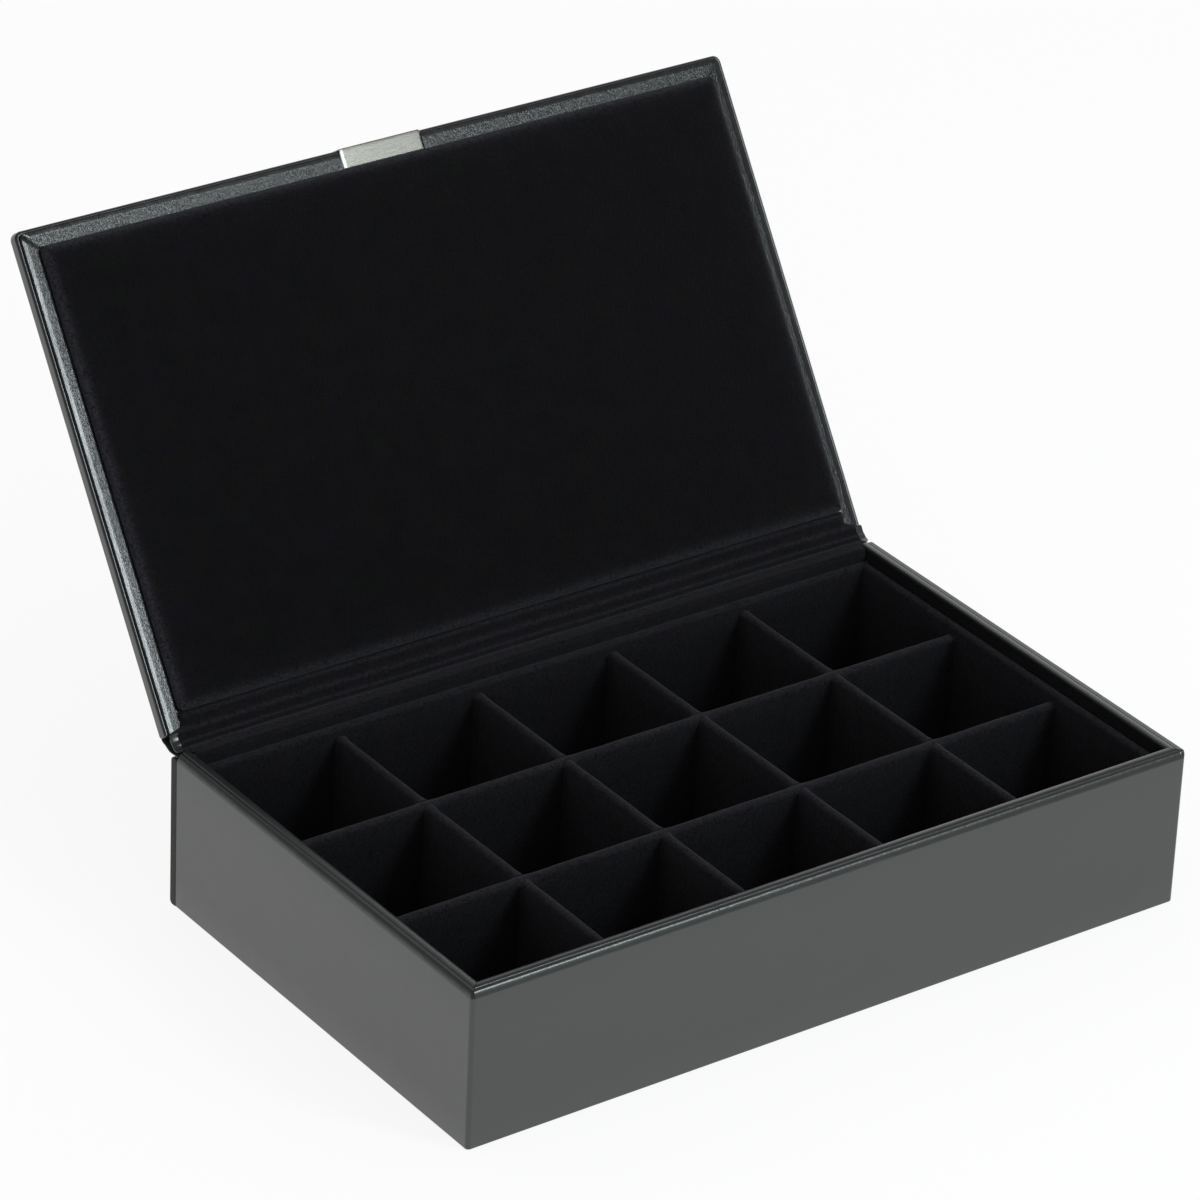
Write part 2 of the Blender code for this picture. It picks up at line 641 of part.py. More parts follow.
def main():
    clear_scene()
    make_case_wrap()
    make_floor()
    front_board = make_wall_boards()
    make_catch_magnet(front_board)
    make_rear_cover()
    make_tray()
    pivot = bpy.data.objects.new("lid_pivot", None)
    bpy.context.scene.collection.objects.link(pivot)
    pivot.location = (0, HINGE_Y, HINGE_Z)
    pivot.rotation_euler = (-math.radians(LID_OPEN_DEGREES), 0, 0)
    make_lid(pivot)
    make_hinge_strip()
    make_hinge_lining()


main()
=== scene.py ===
"""Cufflink box: the finish of a hinged leatherette case with a velvet tray of fifteen compartments.

Laid out as a Blender add-on and run as a script. Lengths are metres, +Z is up and the front faces -Y.
"""

import json
import math

import bmesh
import bpy
from mathutils import Matrix, Vector, noise


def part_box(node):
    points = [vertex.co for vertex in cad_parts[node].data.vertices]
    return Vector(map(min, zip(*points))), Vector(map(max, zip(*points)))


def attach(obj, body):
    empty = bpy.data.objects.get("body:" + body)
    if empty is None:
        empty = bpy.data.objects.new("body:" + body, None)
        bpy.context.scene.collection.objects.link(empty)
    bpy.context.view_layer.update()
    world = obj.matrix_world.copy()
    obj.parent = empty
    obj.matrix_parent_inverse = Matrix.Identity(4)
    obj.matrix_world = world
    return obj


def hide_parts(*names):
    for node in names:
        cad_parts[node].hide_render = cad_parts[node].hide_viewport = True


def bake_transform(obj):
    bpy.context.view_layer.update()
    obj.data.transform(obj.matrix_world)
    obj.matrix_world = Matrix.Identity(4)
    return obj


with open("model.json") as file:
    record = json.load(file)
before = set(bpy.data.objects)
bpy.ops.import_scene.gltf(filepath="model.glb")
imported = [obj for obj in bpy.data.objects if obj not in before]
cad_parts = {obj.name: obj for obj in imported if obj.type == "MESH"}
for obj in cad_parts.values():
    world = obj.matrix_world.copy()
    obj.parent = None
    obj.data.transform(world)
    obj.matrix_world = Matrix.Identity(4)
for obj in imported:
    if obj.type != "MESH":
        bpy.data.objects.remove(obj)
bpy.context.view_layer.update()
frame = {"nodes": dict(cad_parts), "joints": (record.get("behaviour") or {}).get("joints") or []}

bl_info = {
    "name": "Cufflink Box",
    "version": (1, 0, 0),
    "blender": (4, 5, 0),
    "location": "3D View > Sidebar > Cufflink Box",
    "description": "Covers a cufflink box in leatherette and velvet and sets it on a pale floor",
    "category": "Add Mesh",
}

MM = 0.001
HINGE = frame["joints"][0]
HINGE_PLACE = Vector(HINGE["pos_m"])
OPEN_ANGLE = math.radians(HINGE["range_deg"][1])
OPENING = Matrix.Rotation(-OPEN_ANGLE, 4, "X")
SHUTTING = Matrix.Rotation(OPEN_ANGLE, 4, "X")
# The CAD model leaves this gap between neighbouring solids
TOUCH_GAP = 0.3 * MM
# The name of the material that each function for a finish has made
FINISHES = {}


def opened(point):
    """Where a point of the closed lid lies when the lid stands open."""
    return OPENING @ (Vector(point) - HINGE_PLACE) + HINGE_PLACE


def shut(point):
    """Where a point of the open lid lies when the lid is closed."""
    return SHUTTING @ (Vector(point) - HINGE_PLACE) + HINGE_PLACE


def closed_points(node):
    """The points of a lid node when the lid is closed."""
    return [shut(v.co) for v in frame["nodes"][node].data.vertices]


def closed_box(node):
    """The lowest and highest corner of a lid node when the lid is closed."""
    points = closed_points(node)
    return [Vector([pick(p[axis] for p in points) for axis in range(3)]) for pick in (min, max)]


def hex_colour(code):
    """An sRGB hex colour as linear red, green and blue."""
    channels = [int(code[i : i + 2], 16) / 255 for i in (0, 2, 4)]
    return tuple(c / 12.92 if c <= 0.04045 else ((c + 0.055) / 1.055) ** 2.4 for c in channels)


# Settings that a user would change


def number(name, description, default, **kind):
    return bpy.props.FloatProperty(name=name, description=description, default=default, **kind)


def length(name, description, millimetres):
    return number(name, description, millimetres * MM, unit="LENGTH", subtype="DISTANCE", precision=5)


def share(name, description, default):
    return number(name, description, default, min=0, max=1, subtype="FACTOR")


def angle(name, description, degrees):
    return number(name, description, math.radians(degrees), subtype="ANGLE")


def triple(name, description, default, **kind):
    return bpy.props.FloatVectorProperty(name=name, description=description, default=default, size=3, **kind)


def colour(name, description, code):
    return triple(name, description, hex_colour(code), subtype="COLOR", min=0, max=1)


class CUFFLINK_PG_leatherette(bpy.types.PropertyGroup):
    smooth_colour: colour("Smooth colour", "Colour of the calendered leatherette", "202222")
    border_colour: colour("Border colour", "Colour of the grained leatherette inside the lid", "1a1c1e")
    smooth_roughness: share("Smooth roughness", "How matt the calendered leatherette is", 0.28)
    border_roughness: share("Border roughness", "How matt the grained leatherette is", 0.24)
    roll_wander: length("Roll wander", "How far the case's rolled edge strays from a straight line", 0.05)
    roll_crinkle: length("Roll crinkle", "Depth of the fine crinkles over the rolled edge", 0.035)
    fall_length: length("Fall length", "Length of the slow fall below the front and left rim", 2.20)
    fold_radius: length("Fold radius", "Radius at which the cover then turns in", 1.2)
    right_radius: length("Right radius", "Radius of the crisp edge along the right side", 0.4)
    strip_fold: length("Strip fold", "Height of the soft fold in the hinge strip", 0.35)
    lip_turn: length("Lip turn", "How far the leatherette is turned down inside the lip", 0.9)
    border_lean: number("Border lean", "Fall of the lid's left strip towards its outer edge", -0.010)
    right_lean: number("Right lean", "Fall of the lid's right strip towards its outer edge", 0.10)
    border_swell: length("Border swell", "How far the lid's border swells between its creases", 0.015)
    grain_width: length("Grain width", "Width of one crease of the lid border's grain", 0.30)
    border_reach: length("Border reach", "How far the border reaches past its sheet at the lid's sides", 0.5)
    front_reach: length("Front reach", "The same along the lid's front edge", 0.9)


class CUFFLINK_PG_velvet(bpy.types.PropertyGroup):
    pile_colour: colour("Pile colour", "Colour of the velvet's pile", "0a0910")
    warm_colour: colour("Warm colour", "Colour of the patches where the pile is less blue", "0b0b09")
    shade_colour: colour("Shade colour", "Colour where the pile lies away from the eye", "060608")
    # From here to the fold setting, the settings paint light into the pile's colour. A lighter colour is
    # painted sheen over the ridges, round the lid pad's edge and over the lining's folds. A little of it
    # elsewhere is painted fill light on the shaded walls and floors of the compartments.
    painted_light_colour: colour("Rubbed colour", "Colour where the pile opens over an edge", "2e2e33")
    painted_sheen_reach: length("Rubbed reach", "How far down a wall the opened pile reaches", 2.0)
    ridge_painted_sheen: share("Ridge wear", "How far the pile is opened over a ridge", 0.60)
    painted_fill: share("Wall wear", "How far the pile is opened over the walls of the compartments", 0.20)
    pad_painted_sheen: share("Pad wear", "How far the pile is opened round the lid pad's edge", 1.0)
    fold_painted_sheen: share("Fold wear", "How far the pile is opened over a fold of the lining", 0.40)
    sheen: share("Sheen", "How much the pile lightens at a low angle", 0.11)
    tuft: length("Tuft", "Size of the clumps that the pile forms, drawn coarser than single fibres", 0.8)
    ridge_wander: length("Ridge wander", "How far a velvet ridge strays from a straight line", 0.14)
    ridge_bulge: length("Ridge bulge", "How far a ridge stands out past its wall", 0.16)
    joint_flare: length("Joint flare", "How much wider a ridge is where it meets another", 0.9)
    lining_folds: number("Lining folds", "How many soft folds lie in the velvet over the hinge", 3.6)
    lining_ripple: length("Lining ripple", "Height of the soft folds over the hinge", 0.55)
    lining_spread: length("Lining spread", "How much wider the lining is where it hangs free", 4.4)
    velvet_reach: length("Velvet reach", "How far the velvet reaches out on the free lining", 2.0)


class CUFFLINK_PG_clasp(bpy.types.PropertyGroup):
    metal_colour: colour("Metal colour", "Colour of the plated sheet", "94918b")
    roughness: share("Roughness", "How satin the plate is", 0.26)
    bevel_width: length("Bevel width", "Width of the sloping ends", 1.0)
    bevel_drop: length("Bevel drop", "How far the sloping ends fall", 0.14)


class CUFFLINK_PG_stage(bpy.types.PropertyGroup):
    floor_colour: colour("Floor colour", "Colour of the paper that the box stands on", "f7f7f7")
    floor_glow: share("Floor glow", "Share of the floor that the camera sees as plain white", 0.87)
    sky_strength: share("Sky strength", "Strength of the even white light from all round", 0.78)
    room_strength: share("Room strength", "Strength of the room before the box, as gloss shows it", 0.13)
    glow_strength: share("Glow strength", "What the wall round the softbox adds, as gloss shows it", 0.10)
    glow_way: triple(
        "Glow way", "Way to the middle of the lit wall", (0.55, -0.65, 0.53), subtype="DIRECTION"
    )
    sweep_way: triple(
        "Sweep way", "Way to the middle of the white sweep", (0.62, 0.78, 0), subtype="DIRECTION"
    )
    softbox_colour: colour("Softbox colour", "Colour of the softbox, a little cool", "f1fdff")
    softbox_power: number("Softbox power", "Power of the tall softbox before the box", 9.0, unit="POWER")
    softbox_width: length("Softbox width", "Width of the softbox", 300)
    softbox_height: length("Softbox height", "Height of the softbox", 600)
    softbox_distance: length("Softbox distance", "Distance from the box to the softbox", 1600)
    softbox_azimuth: angle("Softbox azimuth", "Turn of the softbox about Z", 24.5)
    softbox_elevation: angle("Softbox elevation", "Angle of the softbox above level", 32)
    camera_place: triple(
        "Camera place", "Where the camera stands", (-0.9736, -1.2729, 0.9730), subtype="TRANSLATION"
    )
    camera_azimuth: angle("Camera azimuth", "Turn of the camera about Z", -36.501)
    camera_elevation: angle("Camera elevation", "Angle of the camera above level", 28.613)
    camera_roll: angle("Camera roll", "Tilt about the line of sight", 2.569)
    camera_lens: number("Lens", "Focal length on a 36 mm sensor", 192.95, subtype="DISTANCE_CAMERA")


# Materials


def add_node(tree, kind, settings=None, links=None):
    """Adds a shader node, sets its properties or sockets, and links its inputs to other nodes.

    A link names a node, whose first output is meant, or a node and one of its outputs.
    """
    node = tree.nodes.new("ShaderNode" + kind)
    for name, value in (settings or {}).items():
        if isinstance(name, int) or name in node.inputs:
            node.inputs[name].default_value = value
        else:
            setattr(node, name, value)
    for name, source in (links or {}).items():
        source, output = source if isinstance(source, tuple) else (source, 0)
        tree.links.new(source.outputs[output], node.inputs[name])
    return node


def empty_tree(owner):
    """Empties the node tree of a material or a world and gives what adds nodes to it."""
    owner.use_nodes = True
    tree = owner.node_tree
    tree.nodes.clear()
    return lambda kind, settings=None, links=None: add_node(tree, kind, settings, links)


def start_material(name, turn=(0, 0, 0), stretch=(1, 1, 1)):
    """An empty material, what adds its nodes, and a link to the object's own place, turned and stretched."""
    material = bpy.data.materials.new(name)
    add = empty_tree(material)
    place = add("TexCoord")
    place = add("Mapping", {"Rotation": turn}, {"Vector": (place, "Object")})
    place = add("Mapping", {"Scale": stretch}, {"Vector": place})
    return material, add, {"Vector": place}


def end_material(add, settings, links):
    """The Principled shader that the nodes before it feed, and the output."""
    shader = add("BsdfPrincipled", settings, links)
    add("OutputMaterial", None, {"Surface": shader})


def opaque(rgb, factor=1):
    """A colour as a socket takes it, made darker or lighter by a factor."""
    return (*(min(c * factor, 1) for c in rgb), 1.0)


def calendered_leatherette(settings):
    """PVC leatherette rolled smooth between steel rollers: a low even sheen with a faint pebble."""
    material, add, spot = start_material("leatherette_calendered_smooth")
    cloud = add("TexNoise", {"Scale": 1 / (16 * MM), "Detail": 3.0}, spot)
    pebble = add("TexNoise", {"Scale": 1 / (0.9 * MM), "Detail": 2.0}, spot)
    swell = add("TexNoise", {"Scale": 1 / (9 * MM), "Detail": 1.0}, spot)
    base = settings.smooth_colour
    shades = {"data_type": "RGBA", 6: opaque(base, 0.88), 7: opaque(base, 1.12)}
    tint = add("Mix", shades, {"Factor": cloud})
    # A stronger change of gloss would show as islands on the closed lid, seen at a low angle
    rough = settings.smooth_roughness
    gloss = {"From Min": 0.3, "From Max": 0.7, "To Min": rough - 0.005, "To Max": rough + 0.010}
    matt = add("MapRange", gloss, {"Value": cloud})
    wave = add("Bump", {"Strength": 0.5, "Distance": 0.10 * MM}, {"Height": swell})
    skin = add("Bump", {"Strength": 0.6, "Distance": 0.045 * MM}, {"Height": pebble, "Normal": wave})
    end_material(add, {"IOR": 1.72}, {"Base Color": (tint, 2), "Roughness": matt, "Normal": skin})
    return material


def dyed_edge(settings):
    """The cut edge of a covered panel, brushed with black edge dye: matt, a little brown and uneven."""
    material, add, spot = start_material("board_edge_dyed")
    brushed = add("TexNoise", {"Scale": 1 / (1.2 * MM), "Detail": 3.0}, spot)
    shades = {"data_type": "RGBA", 6: opaque(hex_colour("1c1b19")), 7: opaque(hex_colour("2d2b28"))}
    tint = add("Mix", shades, {"Factor": brushed})
    dent = add("Bump", {"Strength": 0.4, "Distance": 0.04 * MM}, {"Height": brushed})
    finish = {"Roughness": 0.62, "Specular IOR Level": 0.35}
    end_material(add, finish, {"Base Color": (tint, 2), "Normal": dent})
    return material


def creased_leatherette(settings):
    """PVC leatherette embossed with fine lengthwise creases: bright broken streaks between dark lines."""
    name = "leatherette_embossed_creased"
    material, add, spot = start_material(name, turn=(OPEN_ANGLE, 0, 0), stretch=(1, 0.38, 1))
    width = settings.grain_width
    crease = add("TexNoise", {"Scale": 1 / (1.6 * width), "Detail": 3.0, "Distortion": 0.6}, spot)
    blotch = add("TexNoise", {"Scale": 1 / (4.2 * MM), "Detail": 2.0}, spot)
    fine = add("TexNoise", {"Scale": 1 / (0.5 * width), "Detail": 2.0}, spot)
    sharp = add("MapRange", {"From Min": 0.36, "From Max": 0.62}, {"Value": crease})
    base = settings.border_colour
    shades = {"data_type": "RGBA", 6: opaque(base, 0.45), 7: opaque(base, 1.25)}
    tint = add("Mix", shades, {"Factor": sharp})
    rough = settings.border_roughness
    gloss = {"From Min": 0.3, "From Max": 0.7, "To Min": rough + 0.05, "To Max": rough - 0.03}
    matt = add("MapRange", gloss, {"Value": blotch})
    # The grain is pulled nearly flat where the sheet turns over the strip's outer edge
    pulled = (add("Attribute", {"attribute_name": "pulled"}), "Fac")
    depth = add("MapRange", {"To Min": 0.85, "To Max": 0.15}, {"Value": pulled})
    glaze = add("Math", {"operation": "MULTIPLY", 1: 0.06}, {0: pulled})
    matt = add("Math", {"operation": "SUBTRACT"}, {0: matt, 1: glaze})
    deep = add("Bump", {"Distance": 0.055 * MM}, {"Height": sharp, "Strength": depth})
    skin = add("Bump", {"Strength": 0.3, "Distance": 0.02 * MM}, {"Height": fine, "Normal": deep})
    end_material(add, {"IOR": 1.58}, {"Base Color": (tint, 2), "Roughness": matt, "Normal": skin})
    return material


def pile_velvet(settings):
    """Nylon velvet with a short upright pile: almost black, lighter where the eye meets it at a low angle."""
    material, add, spot = start_material("velvet_short_pile")
    clump = {"Scale": 1 / settings.tuft, "Detail": 3.0, "Roughness": 0.65, "Distortion": 1.2}
    tuft = add("TexNoise", clump, spot)
    nap = add("TexNoise", {"Scale": 1 / (8 * MM), "Detail": 5.0}, spot)
    patch = add("TexNoise", {"Scale": 1 / (5 * MM), "Detail": 3.0, "Distortion": 0.8}, spot)
    both = add("Math", {"operation": "MULTIPLY"}, {0: tuft, 1: nap})
    lean = add("MapRange", {"From Min": 0.13, "From Max": 0.36}, {"Value": both})
    blue = add("MapRange", {"From Min": 0.40, "From Max": 0.60}, {"Value": patch})
    hues = {"data_type": "RGBA", 6: opaque(settings.warm_colour), 7: opaque(settings.pile_colour)}
    fibre = add("Mix", hues, {"Factor": blue})
    shade = {"data_type": "RGBA", 6: opaque(settings.shade_colour)}
    tint = add("Mix", shade, {"Factor": lean, 7: (fibre, 2)})
    # Painted light: a stored amount mixes the pile towards a lighter colour, as painted sheen over ridges,
    # edges and folds and as painted fill light elsewhere, broken up by the clumps of the pile
    rubbed = (add("Attribute", {"attribute_name": "rubbed"}), "Fac")
    sheen_clumps = add("MapRange", {"From Min": 0.30, "From Max": 0.62}, {"Value": tuft})
    painted_light_mask = add("Math", {"operation": "MULTIPLY"}, {0: sheen_clumps, 1: rubbed})
    light = {"data_type": "RGBA", 7: opaque(settings.painted_light_colour)}
    tint = add("Mix", light, {"Factor": painted_light_mask, 6: (tint, 2)})
    pile = add("Bump", {"Strength": 0.9, "Distance": 0.35 * MM}, {"Height": tuft})
    finish = {
        "Roughness": 0.92,
        "Specular IOR Level": 0.09,
        "Sheen Weight": settings.sheen,
        "Sheen Roughness": 0.42,
        "Sheen Tint": opaque(hex_colour("c9cad4")),
    }
    end_material(add, finish, {"Base Color": (tint, 2), "Normal": pile})
    return material


def flocked_card(settings):
    """Card sprayed with short rayon flock: a dull black, finer than velvet."""
    material, add, spot = start_material("card_rayon_flocked")
    flock = add("TexNoise", {"Scale": 1 / (0.30 * MM), "Detail": 2.0}, spot)
    shades = {"data_type": "RGBA", 6: opaque(hex_colour("0e0e10")), 7: opaque(hex_colour("1c1c1f"))}
    tint = add("Mix", shades, {"Factor": flock})
    fur = add("Bump", {"Strength": 0.6, "Distance": 0.10 * MM}, {"Height": flock})
    finish = {"Roughness": 0.95, "Specular IOR Level": 0.15, "Sheen Weight": settings.sheen}
    end_material(add, finish, {"Base Color": (tint, 2), "Normal": fur})
    return material


def brushed_nickel(settings):
    """Steel sheet, nickel plated and brushed along its length: satin, with hair lines from end to end."""
    name = "steel_nickel_plated_brushed"
    material, add, spot = start_material(name, turn=(OPEN_ANGLE, 0, 0), stretch=(0.02, 1, 1))
    # Real brush lines are about 0.03 mm apart: drawn at 0.12 mm, so that they show
    hair = add("TexNoise", {"Scale": 1 / (0.12 * MM), "Detail": 2.0}, spot)
    base = settings.metal_colour
    shades = {"data_type": "RGBA", 6: opaque(base, 0.93), 7: opaque(base, 1.05)}
    tint = add("Mix", shades, {"Factor": hair})
    rough = settings.roughness
    gloss = {"From Min": 0.3, "From Max": 0.7, "To Min": rough - 0.04, "To Max": rough + 0.05}
    matt = add("MapRange", gloss, {"Value": hair})
    groove = add("Bump", {"Strength": 0.3, "Distance": 0.006 * MM}, {"Height": hair})
    end_material(add, {"Metallic": 1.0}, {"Base Color": (tint, 2), "Roughness": matt, "Normal": groove})
    return material


def plated_magnet(settings):
    """A sintered bar magnet, nickel plated in a barrel: even soft shine with a slight orange peel."""
    material, add, spot = start_material("magnet_nickel_barrel_plated")
    peel = add("TexNoise", {"Scale": 1 / (0.5 * MM), "Detail": 2.0}, spot)
    matt = add("MapRange", {"To Min": 0.26, "To Max": 0.38}, {"Value": peel})
    dent = add("Bump", {"Strength": 0.3, "Distance": 0.01 * MM}, {"Height": peel})
    finish = {"Metallic": 1.0, "Base Color": opaque(hex_colour("b4b3ad"))}
    end_material(add, finish, {"Roughness": matt, "Normal": dent})
    return material


def pressed_greyboard(settings):
    """Greyboard pressed from waste paper: matt, warm grey, with fibres and specks."""
    material, add, spot = start_material("greyboard_pressed")
    fibre = add("TexNoise", {"Scale": 1 / (0.9 * MM), "Detail": 5.0, "Distortion": 1.2}, spot)
    shades = {"data_type": "RGBA", 6: opaque(hex_colour("5e574d")), 7: opaque(hex_colour("8b8578"))}
    tint = add("Mix", shades, {"Factor": fibre})
    felt = add("Bump", {"Strength": 0.5, "Distance": 0.05 * MM}, {"Height": fibre})
    finish = {"Roughness": 0.9, "Specular IOR Level": 0.3}
    end_material(add, finish, {"Base Color": (tint, 2), "Normal": felt})
    return material


def material_of(maker, settings):
    """A material that is made once and then shared by the pieces that have its finish."""
    made = bpy.data.materials.get(FINISHES.get(maker, ""))
    if made is None:
        made = maker(settings)
        FINISHES[maker] = made.name
    return made


# Shapes


def strays(place, size, seed):
    """Smooth noise from -1 to 1 that changes over this many metres."""
    return noise.noise(Vector(place) / size + Vector((seed * 17.3, seed * 5.1, seed * 9.7)))


def ease(value, start, end):
    """Rises smoothly from 0 at the start to 1 at the end."""
    t = min(max((value - start) / (end - start), 0), 1)
    return t * t * (3 - 2 * t)


def spread(start, end, count):
    """Evenly spaced values, both ends included."""
    return [start + (end - start) * i / count for i in range(count + 1)]


def line(start, end, count):
    """Points between two points of a section, without the last."""
    (a, b), (c, d) = start, end
    return [(a + (c - a) * i / count, b + (d - b) * i / count) for i in range(count)]


def arc(centre, radius, start_degrees, end_degrees, steps, height=None):
    """Points on an arc of a circle, or of an ellipse where a height is given."""
    height = radius if height is None else height
    turns = [math.radians(degrees) for degrees in spread(start_degrees, end_degrees, steps)]
    return [(centre[0] + radius * math.cos(turn), centre[1] + height * math.sin(turn)) for turn in turns]


def bent_path(place, tilt, bends):
    """Points of a section after a place, as (depth, height, tilt).

    The tilt from upright, in degrees, changes evenly along every bend: (length, tilt at its end, steps).
    """
    depth, height = place
    points = []
    for span, goal, steps in bends:
        for i in range(steps):
            middle = math.radians(tilt + (goal - tilt) * (i + 0.5) / steps)
            depth += span / steps * math.sin(middle)
            height += span / steps * math.cos(middle)
            points.append((depth, height, tilt + (goal - tilt) * (i + 1) / steps))
        tilt = goal
    return points


def bridge(builder, loops):
    """Joins successive closed loops of equal length with faces and closes the two ends."""
    rings = [[builder.verts.new(point) for point in loop] for loop in loops]
    count = len(rings[0])
    for near, far in zip(rings, rings[1:]):
        for i in range(count):
            j = (i + 1) % count
            builder.faces.new((near[i], near[j], far[j], far[i]))
    ends = [builder.faces.new(rings[0]), builder.faces.new(rings[-1])]
    bmesh.ops.triangulate(builder, faces=ends)


def bridged(loops):
    builder = bmesh.new()
    bridge(builder, loops)
    return builder


def make_piece(name, builder, material, smooth_degrees=42):
    """A named object from a bmesh, with its faces pointing out."""
    bmesh.ops.recalc_face_normals(builder, faces=builder.faces)
    mesh = bpy.data.meshes.new(name)
    builder.to_mesh(mesh)
    builder.free()
    mesh.shade_smooth()
    mesh.set_sharp_from_angle(angle=math.radians(smooth_degrees))
    mesh.materials.append(material)
    piece = bpy.data.objects.new(name, mesh)
    bpy.context.scene.collection.objects.link(piece)
    return piece


def second_material(piece, material, belongs):
    """Gives the faces that belong to it a second material."""
    piece.data.materials.append(material)
    for face in piece.data.polygons:
        face.material_index = 1 if belongs(face) else 0


def store(piece, name, values):
    """Stores a value from 0 to 1 for each point, which a material reads by name."""
    values = [min(max(value, 0), 1) for value in values]
    piece.data.attributes.new(name, "FLOAT", "POINT").data.foreach_set("value", values)


def stand_for(piece, node, body):
    """The piece is shown in the node's place and moves with the body."""
    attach(piece, body)
    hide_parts(node)


# Case


def rolled_section(settings, along, height, thickness, soft):
    """The cover's section as (depth from outside, height), from the foot up, over the roll and down inside.

    Soft is 1 where the cover falls slowly below the rim and 0 where its edge is crisp.
    """
    crisp = settings.right_radius
    radius = crisp + (settings.fold_radius - crisp) * soft
    fall = 0.7 * crisp + (settings.fall_length - 0.7 * crisp) * soft
    shoulder, turned, level = 40, 84 - 14 * soft, 90 - 6 * soft
    bends = [(0.20 * fall, 19, 4), (0.68 * fall, 29, 7), (0.12 * fall, shoulder, 4)]
    path = bent_path((0, 0), 0, bends + [(radius * math.radians(turned - shoulder), turned, 6)])
    rest = (thickness - 0.04 * MM - path[-1][0]) / math.sin(math.radians((turned + level) / 2))
    path += bent_path(path[-1][:2], turned, [(rest, level, 4)])
    stray = settings.roll_wander * min(strays((along, 0, 0), 2.6 * MM, 1), 0)
    top = height - 0.10 * MM * soft + stray
    start = top - path[-1][1]
    foot = 0.7 * MM
    section = [(thickness, 0)] + arc((foot, foot), foot, 270, 180, 5)
    section += line((0, foot), (0, start), 5)[1:] + [(0, start)]
    for depth, rise, tilt in path:
        crinkle = settings.roll_crinkle * soft * min(tilt / shoulder, 1) * (1 - depth / thickness)
        crinkle *= 1 + strays((along, rise, 0), 1.3 * MM, 3)
        section.append((depth + crinkle, start + rise))
    return section + [(thickness, z) for z in (top - 0.06 * MM, top - 0.6 * MM, height * 0.6)]


def cover_point(depth, stretch, part, low, high):
    """A point in plan on the cover's U-shaped path: part goes from 0 to 1 along the named stretch."""
    radius = max(1.3 * MM - depth, 0.3 * MM)
    x_left, x_right = low.x + depth + radius, high.x - depth - radius
    y_front = low.y + depth + radius
    if stretch == "left":
        return low.x + depth, high.y + (y_front - high.y) * part
    if stretch == "right":
        return high.x - depth, y_front + (high.y - y_front) * part
    if stretch == "front":
        return x_left + (x_right - x_left) * part, low.y + depth
    centre_x, start = (x_left, 180) if stretch == "left_corner" else (x_right, 270)
    turn = math.radians(start + 90 * part)
    return centre_x + radius * math.cos(turn), y_front + radius * math.sin(turn)


class CUFFLINK_OT_cover_case(bpy.types.Operator):
    """Folds the smooth cover round the front and both sides and rolls it in along the rim"""

    bl_idname = "cufflink.cover_case"
    bl_label = "Cover Case"

    def execute(self, context):
        settings = context.scene.cufflink_leatherette
        low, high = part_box("case_wrap")
        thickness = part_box("front_wall_board")[0].y - low.y - TOUCH_GAP
        step = 0.55 * MM
        side, front, corner = round((high.y - low.y) / step), round((high.x - low.x) / step), 10
        counts = {"left": side, "left_corner": corner, "front": front, "right_corner": corner, "right": side}
        stations = [(stretch, i / count) for stretch, count in counts.items() for i in range(count)]
        loops = []
        for index, (stretch, part) in enumerate(stations + [("right", 1.0)]):
            soft = {"right": 0, "right_corner": 1 - part}.get(stretch, 1)
            loop = []
            for depth, z in rolled_section(settings, index * step, high.z, thickness, soft):
                x, y = cover_point(depth, stretch, part, low, high)
                # The straight sides are a little hollow in places, as glued leatherette is
                hollow = 0.05 * MM * strays((x, y, z), 14 * MM, 5) * max(1 - depth / (0.4 * MM), 0)
                x += {"left": 1, "right": -1}.get(stretch, 0) * max(hollow, 0)
                y += max(hollow, 0) if stretch == "front" else 0
                loop.append((x, y, z))
            loops.append(loop)
        piece = make_piece("case_cover", bridged(loops), material_of(calendered_leatherette, settings))
        stand_for(piece, "case_wrap", "case")
        return {"FINISHED"}


def lip_section(settings, thickness, base, top):
    """A covered board's section as (depth from outside, height): low outside, then softly crowned."""
    tuck = 0.24 * MM
    inner_tilt = 108
    bends = [(0.45 * MM, 66, 3), (0.45 * MM, 80, 3), (1.25 * MM, inner_tilt, 8)]
    path = bent_path((-0.8 * tuck, 0), 52, bends)
    round_off = (thickness - path[-1][0]) / (1 + math.cos(math.radians(inner_tilt)))
    path += bent_path(path[-1][:2], inner_tilt, [(round_off * math.radians(180 - inner_tilt), 180, 8)])
    shoulder = top - max(rise for _, rise, _ in path)
    section = [(0, base), (0, shoulder - 2.0 * MM)]
    section += [(-tuck, shoulder - 1.6 * MM), (-tuck, shoulder - 0.1 * MM), (-0.8 * tuck, shoulder)]
    section += [(min(depth, thickness), shoulder + rise) for depth, rise, _ in path]
    section += [(thickness, top - settings.lip_turn), (thickness, top - settings.lip_turn - 0.4 * MM)]
    return section + line((thickness, top - 6 * MM), (thickness, base), 2) + [(thickness, base)]


